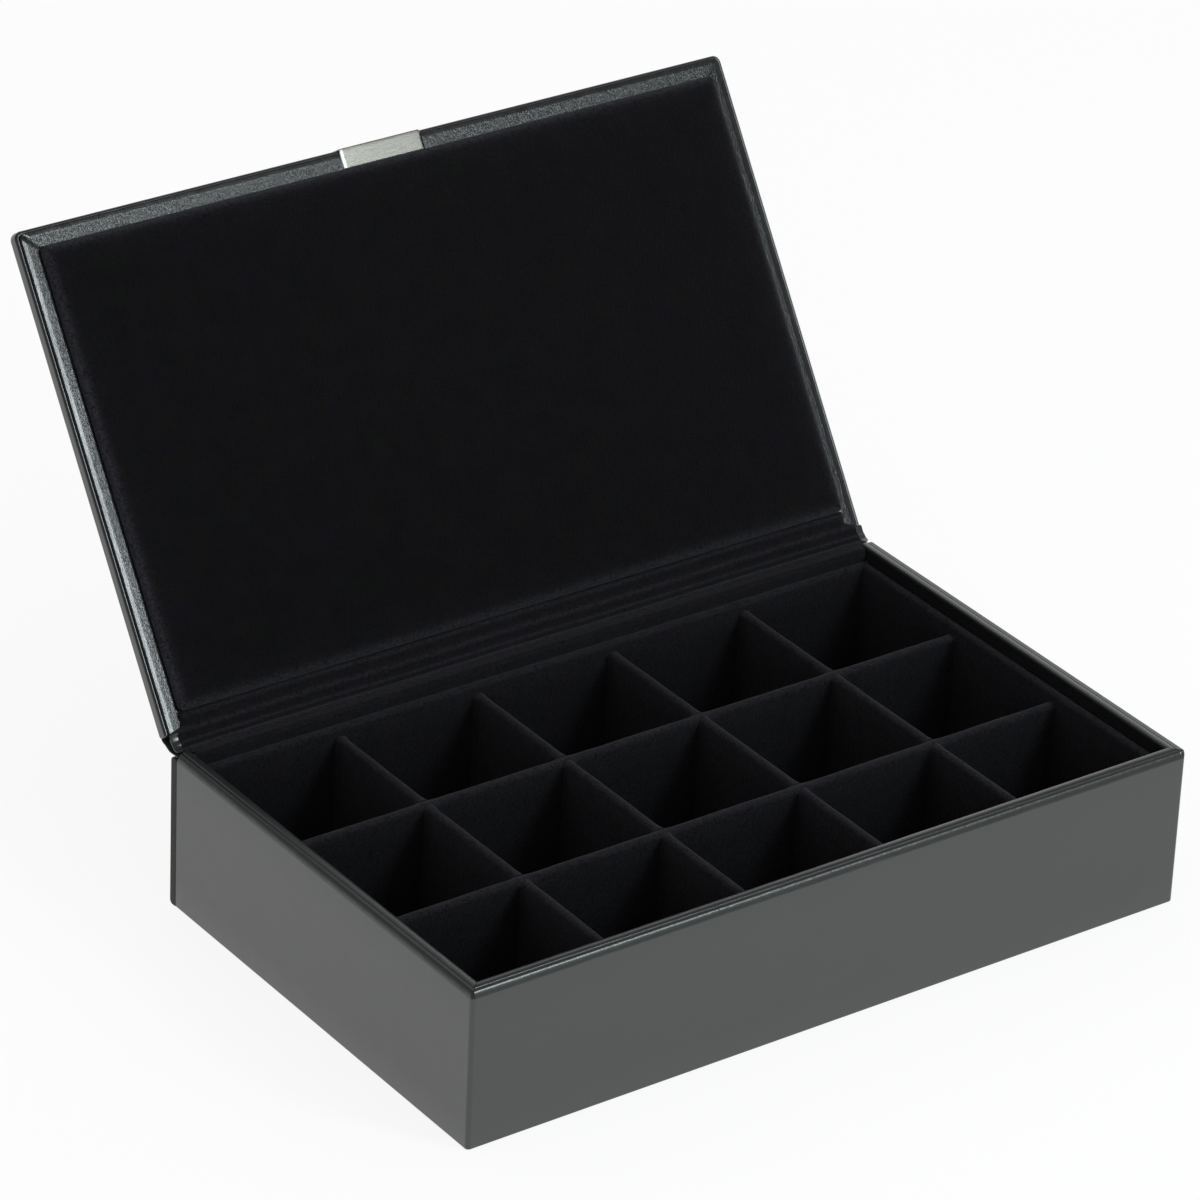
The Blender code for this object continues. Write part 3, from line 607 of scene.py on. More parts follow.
class CUFFLINK_OT_line_lip(bpy.types.Operator):
    """Covers the front and side boards, whose tops are the lip, and mitres them at the front corners"""

    bl_idname = "cufflink.line_lip"
    bl_label = "Line Lip"

    def execute(self, context):
        settings = context.scene.cufflink_leatherette
        velvet = material_of(pile_velvet, context.scene.cufflink_velvet)
        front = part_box("front_wall_board")[0].y
        seam = 0.005 * MM
        # Each board: the axis across it, its outer face, its inner face and the way in
        for side, axis, faces in (("front", 1, (0, 1)), ("left", 0, (0, 1)), ("right", 0, (1, 0))):
            low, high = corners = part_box(f"{side}_wall_board")
            outer, inner = (corners[face][axis] for face in faces)
            inward = 1 if inner > outer else -1
            span = high.x - low.x if side == "front" else high.y - front
            loops = []
            for part in spread(0, 1, round(span / (1.1 * MM))):
                loop = []
                for depth, z in lip_section(settings, abs(inner - outer), low.z, high.z):
                    if side == "front":
                        reach = (high.x - low.x) / 2 - depth - seam
                        x, y = -reach + 2 * reach * part, outer + depth
                    else:
                        start = front + depth + seam
                        x, y = outer + inward * depth, start + (high.y - start) * part
                    if z > high.z - 2 * MM:
                        z -= 0.05 * MM * (1 + strays((x, y, 0), 6 * MM, 11))
                    loop.append((x, y, z))
                loops.append(loop)
            piece = make_piece(f"{side}_lip", bridged(loops), material_of(calendered_leatherette, settings))

            def lined(face):
                """Whether the velvet of the tray, which starts under the turned edge, covers a face."""
                inside = abs(face.center[axis] - inner) < 0.02 * MM
                return inside and face.center.z < high.z - settings.lip_turn

            second_material(piece, velvet, lined)
            stand_for(piece, f"{side}_wall_board", "case")
        return {"FINISHED"}


def rounded_bar_loops(section_at, start, end, step, round_end):
    """Loops of a bar along X whose ends are rounded over: section_at(inset, x) gives (y, z) points."""
    turns = [math.radians(degrees) for degrees in spread(0, 90, 4)]
    ends = [(round_end * (1 - math.sin(turn)), round_end * (1 - math.cos(turn))) for turn in turns]
    count = round((end - start) / step)
    stations = [(inset, start + x) for inset, x in ends]
    stations += [(0, x) for x in spread(start + round_end, end - round_end, count)[1:-1]]
    stations += [(inset, end - x) for inset, x in reversed(ends)]
    return [[(x, y, z) for y, z in section_at(inset, x)] for inset, x in stations]


class CUFFLINK_OT_cover_rear(bpy.types.Operator):
    """Covers the rear panel, whose rounded end shows behind the left side"""

    bl_idname = "cufflink.cover_rear"
    bl_label = "Cover Rear Panel"

    def execute(self, context):
        low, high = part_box("rear_cover_panel")
        radius = 1.2 * MM
        small = 0.7 * MM
        glued = low.y - 0.25 * MM

        def section_at(inset, x):
            swell = 0.04 * MM * strays((x, 0, 0), 16 * MM, 21)
            front, back = glued + 0.6 * inset, high.y - inset + min(swell, 0)
            base, top = low.z + inset, high.z - inset
            points = arc((front + small, base + small), small, 270, 180, 3)
            points += arc((front + small, top - small), small, 180, 90, 3)
            points += arc((back - radius, top - radius), radius, 90, 0, 6)
            points += line((back, top - radius), (back, base + radius), 8)[1:]
            return points + arc((back - radius, base + radius), radius, 0, -90, 6)

        loops = rounded_bar_loops(section_at, low.x, high.x, 2.5 * MM, 0.35 * MM)
        settings = context.scene.cufflink_leatherette
        piece = make_piece("rear_panel_cover", bridged(loops), material_of(calendered_leatherette, settings))
        second_material(piece, material_of(dyed_edge, settings), lambda face: abs(face.normal.x) > 0.5)
        stand_for(piece, "rear_cover_panel", "case")
        return {"FINISHED"}


def plan_outline(low, high, radius, inset, edge_step, rear_radius=None, rear_inset=None):
    """A rounded rectangle in plan, drawn in by inset, with points along its straight sides too.

    Its rear corners and its rear side may have a radius and an inset of their own.
    """
    front = max(radius - inset, 0.1 * MM)
    rear = front if rear_radius is None else max(rear_radius - inset, 0.1 * MM)
    x0, x1, y0 = low.x + inset, high.x - inset, low.y + inset
    y1 = high.y - (inset if rear_inset is None else min(inset, rear_inset))
    corners = (
        (x0 + front, y0 + front, front, 180),
        (x1 - front, y0 + front, front, 270),
        (x1 - rear, y1 - rear, rear, 0),
        (x0 + rear, y1 - rear, rear, 90),
    )
    points = []
    for (x, y, r, start), (next_x, next_y, next_r, _) in zip(corners, corners[1:] + corners[:1]):
        turn = arc((x, y), r, start, start + 90, 6)
        facing = math.radians(start + 90)
        goal = (next_x + next_r * math.cos(facing), next_y + next_r * math.sin(facing))
        span = high.x - low.x if start in (180, 0) else high.y - low.y
        points += turn[:-1] + line(turn[-1], goal, max(1, round(span / edge_step)))
    return points


class CUFFLINK_OT_lay_base(bpy.types.Operator):
    """Lays the flocked sheet under the case and gives the hidden boards and the magnet their finish"""

    bl_idname = "cufflink.lay_base"
    bl_label = "Lay Base Sheet"

    def execute(self, context):
        low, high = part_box("base_sheet")
        edge = 0.25 * MM
        layers = [(edge, low.z)]
        for turn in (0.8, 1.57):
            layers.append((edge * (1 - math.sin(turn)), low.z + edge * (1 - math.cos(turn))))
        layers += [(0, high.z - edge), (edge, high.z)]
        loops = []
        for inset, z in layers:
            loops.append([(x, y, z) for x, y in plan_outline(low, high, 1.5 * MM, inset, 12 * MM)])
        settings = context.scene.cufflink_velvet
        piece = make_piece("flocked_base", bridged(loops), material_of(flocked_card, settings))
        stand_for(piece, "base_sheet", "case")
        for node in ("floor_board", "rear_wall_board", "pad_board", "catch_magnet"):
            mesh = frame["nodes"][node].data
            mesh.materials.clear()
            maker = plated_magnet if node == "catch_magnet" else pressed_greyboard
            mesh.materials.append(material_of(maker, settings))
        return {"FINISHED"}


# Velvet tray


def velvet_bar(node, along, notches, joints, settings, reach, seed):
    """A velvet covered wall with a soft round top, in the node's place.

    It runs along X or Y. Notches are (start, end, height, above): the wall is cut there above or below
    that height for the wall that crosses it. Joints are where its ridge widens.
    """
    low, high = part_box(node)
    other = 1 - along
    start, end = low[along] - reach, high[along] + reach
    middle = (low[other] + high[other]) / 2
    half = (high[other] - low[other]) / 2
    stations = set(spread(start, end, round((end - start) / (0.9 * MM))))
    hair = 0.02 * MM
    for near, far, _, _ in notches:
        stations -= {u for u in stations if near - 2 * hair < u < far + 2 * hair}
        stations |= {near - hair, near + hair, far - hair, far + hair}
    wander = settings.ridge_wander
    foot = low.z + 3 * MM
    loops = []
    for u in sorted(stations):
        flare = sum(math.exp(-(((abs(u - joint) - half) / (1.5 * MM)) ** 2)) for joint in joints)
        flare = settings.joint_flare / 2 * min(flare, 1)
        shift = wander * strays((u, seed, 0), 9 * MM, seed)
        top = high.z + 0.6 * wander * strays((u, 0, seed), 5 * MM, seed + 1) - 0.5 * wander
        radius = half + settings.ridge_bulge * (1 + 0.5 * strays((u, 0, 0), 3 * MM, seed + 2))
        section = [(-half, low.z), (half, low.z)]

        def wall(way, heights):
            """Points up or down one side of the wall, which is a little uneven."""
            uneven = [0.08 * MM * strays((u, z, 1 if way > 0 else 2), 6 * MM, seed + 3) for z in heights]
            return [(way * (half + flare * 0.6 + u_z), z) for u_z, z in zip(uneven, heights)]

        shoulder = top - 1.4 * radius
        section += wall(1, spread(foot, shoulder, 5))
        section += [(v + shift, z) for v, z in arc((0, top - radius), radius + flare, 8, 172, 14, radius)]
        section += wall(-1, spread(shoulder, foot, 5))
        for near, far, height, above in notches:
            if near < u < far:
                limit = min if above else max
                section = [(v, limit(z, height)) for v, z in section]
        loops.append([(u, middle + v, z) if along == 0 else (middle + v, u, z) for v, z in section])
    piece = make_piece(f"velvet_{node}", bridged(loops), material_of(pile_velvet, settings), 60)
    # Painted light: fill light on the wall, rising to painted sheen over the round top
    painted_light = settings.ridge_painted_sheen - settings.painted_fill
    falls = [1 - (high.z - v.co.z) / (settings.painted_sheen_reach + half) for v in piece.data.vertices]
    store(piece, "rubbed", [settings.painted_fill + painted_light * max(fall, 0) for fall in falls])
    stand_for(piece, node, "case")


class CUFFLINK_OT_line_tray(bpy.types.Operator):
    """Lines the tray with velvet: its walls, the crossed dividers and a soft floor in every compartment"""

    bl_idname = "cufflink.line_tray"
    bl_label = "Line Tray"

    def execute(self, context):
        settings = context.scene.cufflink_velvet
        long_names = ["long_divider_1", "long_divider_2"]
        cross_names = [f"cross_divider_{i}" for i in range(1, 5)]
        rows = [sum(corner.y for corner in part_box(name)) / 2 for name in long_names]
        columns = [sum(corner.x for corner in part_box(name)) / 2 for name in cross_names]
        low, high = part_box(long_names[0])
        half = (high.y - low.y) / 2
        middle = (low.z + high.z) / 2
        gap = 0.32 * MM
        notches = [(x - half - gap, x + half + gap, middle, False) for x in columns]
        joints = columns + [low.x - half, high.x + half]
        for seed, node in enumerate(long_names, 31):
            velvet_bar(node, 0, notches, joints, settings, gap, seed)
        low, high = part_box(cross_names[0])
        notches = [(y - half + gap / 2, y + half - gap / 2, middle, True) for y in rows]
        joints = rows + [low.y - half, high.y + half]
        for seed, node in enumerate(cross_names, 41):
            velvet_bar(node, 1, notches, joints, settings, gap, seed)
        for seed, (side, along) in enumerate((("front", 0), ("rear", 0), ("left", 1), ("right", 1)), 51):
            velvet_bar(f"tray_{side}_wall", along, [], [], settings, gap * along, seed)
        self.make_floor(settings, rows, columns, half)
        return {"FINISHED"}

    def make_floor(self, settings, rows, columns, half):
        """One sheet of velvet over card, a little raised in the middle of every compartment."""
        low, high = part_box("tray_floor")
        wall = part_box("tray_front_wall")[1].y - low.y

        def puff(value, walls, start, end):
            """How full the sheet is at a place between two walls, from 0 to 1."""
            edges = [start + wall] + [w + s * half for w in walls for s in (-1, 1)] + [end - wall]
            for near, far in zip(edges[::2], edges[1::2]):
                if near < value < far:
                    return math.sin(math.pi * (value - near) / (far - near)) ** 0.5
            return 0.0

        step = 2.0 * MM
        xs = spread(low.x, high.x, round((high.x - low.x) / step))
        ys = spread(low.y, high.y, round((high.y - low.y) / step))
        builder = bmesh.new()
        grid = []
        for x in xs:
            column = []
            for y in ys:
                lift = 0.9 * MM * puff(x, columns, low.x, high.x) * puff(y, rows, low.y, high.y)
                lift += 0.12 * MM * strays((x, y, 0), 7 * MM, 61) if lift > 0 else 0
                column.append(builder.verts.new((x, y, high.z + max(lift, 0))))
            grid.append(column)
        for near, far in zip(grid, grid[1:]):
            for j in range(len(ys) - 1):
                builder.faces.new((near[j], far[j], far[j + 1], near[j + 1]))
        under = bmesh.ops.extrude_face_region(builder, geom=builder.faces[:])
        for item in under["geom"]:
            if isinstance(item, bmesh.types.BMVert):
                item.co.z = low.z
        piece = make_piece("velvet_tray_floor", builder, material_of(pile_velvet, settings), 60)
        # Painted fill light over the whole floor
        store(piece, "rubbed", [settings.painted_fill] * len(piece.data.vertices))
        stand_for(piece, "tray_floor", "case")


# Lid


def lid_loops(layers, low, high, radius, edge_step, rear_radius=None, rear_inset=None):
    """Rounded outlines of the closed lid, each at its own inset and height, turned open."""
    loops = []
    for inset, z in layers:
        outline = plan_outline(low, high, radius, inset, edge_step, rear_radius, rear_inset)
        loops.append([opened((x, y, z)) for x, y in outline])
    return loops


class CUFFLINK_OT_cover_lid(bpy.types.Operator):
    """Covers the lid's board, which has a rounded bead round its inner face"""

    bl_idname = "cufflink.cover_lid"
    bl_label = "Cover Lid"

    def execute(self, context):
        low, high = closed_box("lid_panel")
        bead = 0.8 * MM
        crest = low.z - 0.40 * MM
        radius = 0.6 * MM
        layers = [(4 * MM, low.z), (1.60 * MM, low.z), (1.50 * MM, low.z - 0.12 * MM)]
        layers += arc((bead, crest + bead), bead, 290, 180, 14)
        layers += line((0, crest + bead), (0, high.z - radius), 3)[1:]
        layers += arc((radius, high.z - radius), radius, 180, 90, 8)
        layers += [(3 * MM, high.z), (12 * MM, high.z)]
        loops = lid_loops(layers, low, high, 2.4 * MM, 2.0 * MM, 0.6 * MM, 0.15 * MM)
        leatherette = material_of(calendered_leatherette, context.scene.cufflink_leatherette)
        piece = make_piece("lid_cover", bridged(loops), leatherette)
        stand_for(piece, "lid_panel", "lid")
        return {"FINISHED"}


class CUFFLINK_OT_line_lid(bpy.types.Operator):
    """Lays the grained border inside the lid: four strips with turned edges, mitred at the front corners"""

    bl_idname = "cufflink.line_lid"
    bl_label = "Line Lid"

    def execute(self, context):
        settings = context.scene.cufflink_leatherette
        low, high = closed_box("lid_liner")
        low -= Vector((settings.border_reach, settings.front_reach, 0))
        high.x += settings.border_reach
        pad_low, pad_high = closed_box("lid_pad")
        plate_low, plate_high = closed_box("clasp_plate")
        back, face = high.z - 0.2 * MM, low.z - 0.03 * MM
        corner = 2.0 * MM
        builder = bridged(lid_loops([(0.5 * MM, back), (0.4 * MM, high.z)], low, high, corner, 20 * MM))
        under_pad, clear = 1.5 * MM, 0.12 * MM
        rear = closed_box("lid_panel")[1].y - TOUCH_GAP
        front_width = pad_low.y + under_pad - low.y
        side_width = pad_low.x + under_pad - low.x
        # Each strip: along X or Y, its outer line, the way in from there, width, start, end, the end that
        # is mitred (0 or 1) and its lean
        strips = (
            (0, low.y, 1, front_width, low.x, plate_low.x - clear, 0, 0),
            (0, low.y, 1, front_width, plate_high.x + clear, high.x, 1, 0),
            (1, low.x, 1, side_width, low.y, rear, 0, settings.border_lean),
            (1, high.x, -1, side_width, low.y, rear, 0, settings.right_lean),
        )
        turn, rise, flat_from = 0.45 * MM, 0.22 * MM, 2.1 * MM
        slope, slope_end, slope_bend = 0.072, 1.45 * MM, 0.12 * MM
        seam, seam_depth, seam_width = 0.05 * MM, 0.20 * MM, 0.28 * MM
        for seed, (along, outer, way, width, start, end, mitred, lean) in enumerate(strips, 71):
            section = [(0.15 * MM, back)] + arc((turn, face + rise), turn, 180, 270, 14, rise)
            section += line((turn, face), (flat_from, face), 8)[1:]
            section += line((flat_from, face), (width, face), 5) + [(width, face), (width, back)]
            loops = []
            for part in spread(0, 1, round((end - start) / (0.9 * MM))):
                loop = []
                for depth, z in section:
                    slant = depth + seam
                    near, far = start + (1 - mitred) * slant, end - mitred * slant
                    u = near + (far - near) * part
                    if z < back - 0.05 * MM:
                        groove = abs(u - (start, end)[mitred]) - depth
                        z += seam_depth * math.exp(-((groove / seam_width) ** 2))
                        z += lean * max(width - under_pad - depth, 0)
                        z += slope * slope_bend * math.log1p(math.exp((slope_end - depth) / slope_bend))
                        z += settings.border_swell * strays((u, depth * 0.5, along), 2.4 * MM, seed)
                        # Past the pad the strip's inner edge is pressed down, under the lining
                        if along == 1 and u > pad_high.y - 2.4 * MM:
                            z += 0.5 * max(depth - (width - under_pad), 0)
                        z = min(z, back - 0.04 * MM)
                    wave = 0.05 * MM * strays((u, outer, 0), 6 * MM, seed)
                    v = outer + way * (depth + (max(wave, 0) if depth < turn else 0))
                    x, y = (u, v) if along == 0 else (v, u)
                    loop.append(opened((*self.rounded(x, y, low, high, corner), z)))
                loops.append(loop)
            bridge(builder, loops)
        piece = make_piece("lid_border", builder, material_of(creased_leatherette, settings), 50)
        points = [shut(v.co) for v in piece.data.vertices]
        insets = [min(p.x - low.x, high.x - p.x, p.y - low.y) for p in points]
        pull_end, pull_fade = 2.0 * MM, 0.6 * MM
        store(piece, "pulled", [(pull_end - inset) / pull_fade for inset in insets])
        stand_for(piece, "lid_liner", "lid")
        return {"FINISHED"}

    def rounded(self, x, y, low, high, radius):
        """Pulls a point that lies outside a rounded corner in to the corner's arc."""
        centre_x = min(max(x, low.x + radius), high.x - radius)
        centre_y = max(y, low.y + radius)
        away = Vector((x - centre_x, y - centre_y))
        if away.length > radius:
            away = away.normalized() * radius
        return centre_x + away.x, centre_y + away.y


class CUFFLINK_OT_pad_lid(bpy.types.Operator):
    """Sets the padded velvet panel inside the lid"""

    bl_idname = "cufflink.pad_lid"
    bl_label = "Pad Lid"

    def execute(self, context):
        settings = context.scene.cufflink_velvet
        low, high = closed_box("lid_pad")
        radius, crown, pocket = 2.4 * MM, 0.3 * MM, 1.0 * MM
        edge_face = low.z + crown
        pocket_top = closed_box("pad_board")[0].z - TOUCH_GAP
        layers = [(9 * MM, pocket_top), (pocket, pocket_top), (pocket, high.z), (0.25 * MM, high.z)]
        layers += arc((radius, edge_face + radius), radius, 180, 270, 12)
        for inset in (3.2, 4.5, 6, 8, 10, 12, 14):
            layers.append((inset * MM, edge_face - crown * (1 - math.exp(-(inset - 2.4) / 4.0))))
        builder = bridged(lid_loops(layers, low, high, 1.8 * MM, 1.6 * MM))
        for vert in builder.verts:
            p = shut(vert.co)
            if p.z < edge_face + 0.3 * MM:
                p.z += 0.05 * MM * (1 + strays((p.x, p.y, 0), 9 * MM, 81))
            p.x += 0.05 * MM * strays((p.x, p.y, p.z), 4 * MM, 82)
            vert.co = opened(p)
        piece = make_piece("velvet_lid_pad", builder, material_of(pile_velvet, settings), 70)
        # Painted sheen at the pad's edge and on its side, with a little painted light reaching further in
        painted_light = []
        for vert in piece.data.vertices:
            p = shut(vert.co)
            inset = max(min(p.x - low.x, high.x - p.x, p.y - low.y, high.y - p.y), 0)
            side = math.exp(-((inset / (1.9 * MM)) ** 2))
            painted_light.append(settings.pad_painted_sheen * (side + 0.16 * math.exp(-inset / (9 * MM))))
        store(piece, "rubbed", painted_light)
        stand_for(piece, "lid_pad", "lid")
        return {"FINISHED"}


class CUFFLINK_OT_fit_clasp(bpy.types.Operator):
    """Folds the bare plate round the middle of the lid's front edge, with sloping ends"""

    bl_idname = "cufflink.fit_clasp"
    bl_label = "Fit Clasp Plate"

    def execute(self, context):
        settings = context.scene.cufflink_clasp
        low, high = closed_box("clasp_plate")
        thick, bend, inner = 0.28 * MM, 0.30 * MM, 0.3 * MM
        outer_end = max(p.y for p in closed_points("clasp_plate") if p.z > high.z - 0.1 * MM)

        def section_at(drop):
            front, face, back = low.y + 0.3 * drop, low.z - 0.05 * MM + drop, high.z - 0.3 * drop
            points = line((high.y, face), (front + bend, face), 6)
            points += arc((front + bend, face + bend), bend, 270, 180, 8)
            points += arc((front + bend, back - bend), bend, 180, 90, 8)
            points += [(outer_end, back), (outer_end, high.z - thick)]
            corner = low.y + thick + inner
            points += arc((corner, high.z - thick - inner), inner, 90, 180, 3)
            points += arc((corner, low.z + thick + inner), inner, 180, 270, 3)
            return points + [(high.y, low.z + thick)]

        width, drop = settings.bevel_width, settings.bevel_drop
        stations = [(low.x, drop + 0.05 * MM), (low.x + 0.05 * MM, drop)]
        stations += [(low.x + width * part, drop * (1 - part)) for part in (0.2, 0.4, 0.6, 0.8, 1.0)]
        stations += [(low.x + width + 0.15 * MM, 0)]
        stations += [(x, 0) for x in spread(low.x + 2 * width, high.x - 2 * width, 10)]
        # The right end has a hair line and then a narrow steep bevel: millimetres from the end, and the drop
        right_end = ((0.80, 0), (0.74, 0.16), (0.62, 0.16), (0.56, 0), (0.50, 0), (0, 0.24))
        stations += [(high.x - away * MM, drop * MM) for away, drop in right_end]
        loops = [[opened((x, y, z)) for y, z in section_at(drop)] for x, drop in stations]
        piece = make_piece("clasp_metal", bridged(loops), material_of(brushed_nickel, settings), 12)
        stand_for(piece, "clasp_plate", "lid")
        return {"FINISHED"}


# Hinge


def curve_between(start, start_handle, end_handle, end, steps):
    """A Bezier curve's points in the plane across the hinge."""
    points = []
    for t in spread(0, 1, steps):
        s = 1 - t
        points.append(s**3 * start + 3 * s * s * t * start_handle + 3 * s * t * t * end_handle + t**3 * end)
    return points


def sheet_along(name, middle, thickness, half_width, material, ripple, step):
    """A sheet along a line of (y, z) points.

    Thickness gives what lies above and below the line at a share of its length, half_width half its width
    there, and ripple its height at a place across and a share.
    """
    last = len(middle) - 1
    ways = [(middle[min(i + 1, last)] - middle[max(i - 1, 0)]).normalized() for i in range(last + 1)]
    loops = []
    for side in spread(-1, 1, round(2 * half_width(0) / step)):
        upper, lower = [], []
        for i, (point, way) in enumerate(zip(middle, ways)):
            part = i / last
            half = half_width(part)
            x = side * half
            above, below = thickness(part)
            round_end = min(1, 0.35 + (1 - abs(side)) * half / (0.5 * MM))
            height = ripple(x, part)
            across = Vector((-way.y, way.x))
            upper.append((x, *(point + across * (height + above * round_end))))
            lower.append((x, *(point + across * (height - below * round_end))))
        loops.append(upper + lower[::-1])
    return make_piece(name, bridged(loops), material, 60)


def lid_place(y, z):
    """A point of the closed lid in the plane across the hinge, with the lid open."""
    return opened((0, y, z)).yz


def hang_sheet(piece, node):
    """The sheet takes the node's place: its transform is baked into its mesh and the node is hidden."""
    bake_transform(piece)
    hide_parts(node)


class CUFFLINK_OT_hang_hinge(bpy.types.Operator):
    """Hangs the lid on its flexible strip and covers the hinge with velvet"""

    bl_idname = "cufflink.hang_hinge"
    bl_label = "Hang Hinge"

    def execute(self, context):
        leatherette = context.scene.cufflink_leatherette
        self.make_strip(leatherette)
        self.make_lining(context.scene.cufflink_velvet, material_of(calendered_leatherette, leatherette))
        return {"FINISHED"}

    def make_strip(self, settings):
        """Leatherette from the top of the rear panel, in a soft fold, to the lid's outer hinge edge."""
        low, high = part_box("hinge_strip")
        rear_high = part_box("rear_cover_panel")[1]
        panel_high = closed_box("lid_panel")[1]
        half = 0.4 * MM
        seat = rear_high.z + TOUCH_GAP + half
        start = Vector((low.y, seat))
        bend = Vector((rear_high.y - 1.6 * MM, seat))
        end = lid_place(panel_high.y + 0.03 * MM, panel_high.z - half)
        along_lid = (lid_place(panel_high.y, 0) - lid_place(panel_high.y - 1 * MM, 0)).normalized()
        reach = 2.0 * MM
        span = curve_between(bend, bend + Vector((reach, 0)), end + reach * along_lid, end, 30)
        middle = [start + (bend - start) * i / 3 for i in range(3)]
        for i, point in enumerate(span):
            part = i / (len(span) - 1)
            fold = settings.strip_fold * math.sin(math.pi * part) ** 2 * math.sin(2 * math.pi * part)
            middle.append(point + Vector((0.35, -1)) * fold)

        def ripple(x, part):
            slack = math.sin(math.pi * part) ** 2
            return 0.16 * MM * slack * strays((x, part * 0.004, 0), 3.2 * MM, 91)

        material = material_of(calendered_leatherette, settings)
        even, straight = (lambda part: (half, half)), (lambda part: high.x)
        piece = sheet_along("hinge_strip_cover", middle, even, straight, material, ripple, 0.8 * MM)
        hang_sheet(piece, "hinge_strip")

    def make_lining(self, settings, leatherette):
        """Velvet from inside the rear wall, over its top and across to the pad, lying in soft folds."""
        low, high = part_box("hinge_lining")
        board_low, board_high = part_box("rear_wall_board")
        tray_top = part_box("tray_rear_wall")[1].z
        half = 0.45 * MM
        bend = 0.25 * MM + half
        inside = board_low.y - bend
        middle = [Vector((inside + 0.35 * MM, tray_top - 0.9 * MM)), Vector((inside, tray_top + 0.4 * MM))]
        middle += [Vector(p) for p in arc((board_low.y, board_high.z), bend, 180, 90, 7)]
        wall_end = Vector((board_high.y, board_high.z + bend))
        middle += [wall_end + (middle[-1] - wall_end) * s for s in (0.7, 0.35)]
        height = closed_box("lid_liner")[0].z - bend
        lid_start = lid_place(closed_box("lid_panel")[1].y - TOUCH_GAP, height)
        lid_end = lid_place(closed_box("lid_pad")[1].y + 0.03 * MM, height)
        towards = (lid_end - lid_start).normalized()
        reach, on_lid = 3.2 * MM, 16
        out, back = wall_end + Vector((reach, 0)), lid_start - reach * towards
        middle += curve_between(wall_end, out, back, lid_start, 24)
        middle += [lid_start + (lid_end - lid_start) * s for s in spread(0, 1, on_lid)[1:]]
        last = len(middle) - 1
        # Shares of the line at which the lining leaves the case and lands on the lid
        firm, landing = 10 / last, (last - on_lid) / last

        def free(part):
            return ease(part, firm, firm + 0.12)

        def held(part):
            return ease(part, landing - 0.02, landing + 0.10)

        def thickness(part):
            return half * min(1, 0.4 + part / 0.04), half * min(1, 0.3 + part / 0.04)

        def half_width(part):
            return high.x + free(part) * (1 - held(part)) * settings.lining_spread - held(part) * 0.8 * MM

        def crest(x, part):
            """How near the lining is to the top of one of its soft folds, from 0 to 1."""
            run = (part - firm) / (1 - firm)
            phase = 2 * math.pi * settings.lining_folds * run + 0.6 * strays((x, 0, 0), 40 * MM, 93)
            return 0.5 + 0.5 * math.sin(phase - 0.4)

        def ripple(x, part):
            """The folds, which fade towards the line's ends and the edges, and the press on the edges."""
            slack = free(part) * (1 - ease(part, 0.94, 1))
            slack *= 1 - 0.75 * ease(abs(x), high.x + 0.6 * MM, high.x + 3.0 * MM)
            fold = settings.lining_ripple * crest(x, part) ** 1.5 * (1 + 0.4 * strays((x, 1, 0), 25 * MM, 94))
            stray = 0.08 * MM * strays((x, part * 0.02, 0), 7 * MM, 95)
            pressed = held(part) * max(1 - (half_width(part) - abs(x)) / (1.2 * MM), 0)
            return slack * (fold + stray) - 0.5 * MM * pressed

        material = material_of(pile_velvet, settings)
        piece = sheet_along("velvet_hinge_lining", middle, thickness, half_width, material, ripple, 1.2 * MM)
        # Painted fill light over the lining and painted sheen on the crests of its folds
        painted_light = []
        for vert in piece.data.vertices:
            i = vert.index % (2 * last + 2)
            part = min(i, 2 * last + 1 - i) / last
            fold_painted_sheen = settings.fold_painted_sheen * ease(part, 0, 0.1) * crest(vert.co.x, part) ** 3
            painted_light.append(settings.painted_fill + fold_painted_sheen)
        store(piece, "rubbed", painted_light)
        # The velvet stops short of the ends, where the leatherette that it is glued to shows
        bare_from = high.x + settings.velvet_reach
        second_material(piece, leatherette, lambda face: abs(face.center.x) > bare_from)
        hang_sheet(piece, "hinge_lining")


# Stage


def backdrop_paper(settings):
    """Matt white background paper: plain to the eye, with the object's own shadow on it."""
    material, add, spot = start_material("paper_matt_white")
    grain = add("TexNoise", {"Scale": 1 / (3 * MM), "Detail": 2.0}, spot)
    matt = add("MapRange", {"To Min": 0.9, "To Max": 1.0}, {"Value": grain})
    plain = {"Base Color": opaque(settings.floor_colour), "Specular IOR Level": 0.0}
    paper = add("BsdfPrincipled", plain, {"Roughness": matt})
    glow = add("Emission", {"Strength": 1.0})
    seen = add("LightPath")
    rays = add("Math", {"operation": "MAXIMUM"}, {0: (seen, "Is Camera Ray"), 1: (seen, "Is Glossy Ray")})
    rays = add("Math", {"operation": "MAXIMUM"}, {0: rays, 1: (seen, "Is Transmission Ray")})
    part = add("Math", {"operation": "MULTIPLY", 1: settings.floor_glow}, {0: rays})
    mix = add("MixShader", None, {0: part, 1: paper, 2: glow})
    add("OutputMaterial", None, {"Surface": mix})
    return material


def way_to(azimuth, elevation):
    """The way from the box to what stands at this turn about Z, from the front, and angle above level."""
    level = math.cos(elevation)
    return Vector((math.sin(azimuth) * level, -math.cos(azimuth) * level, math.sin(elevation)))


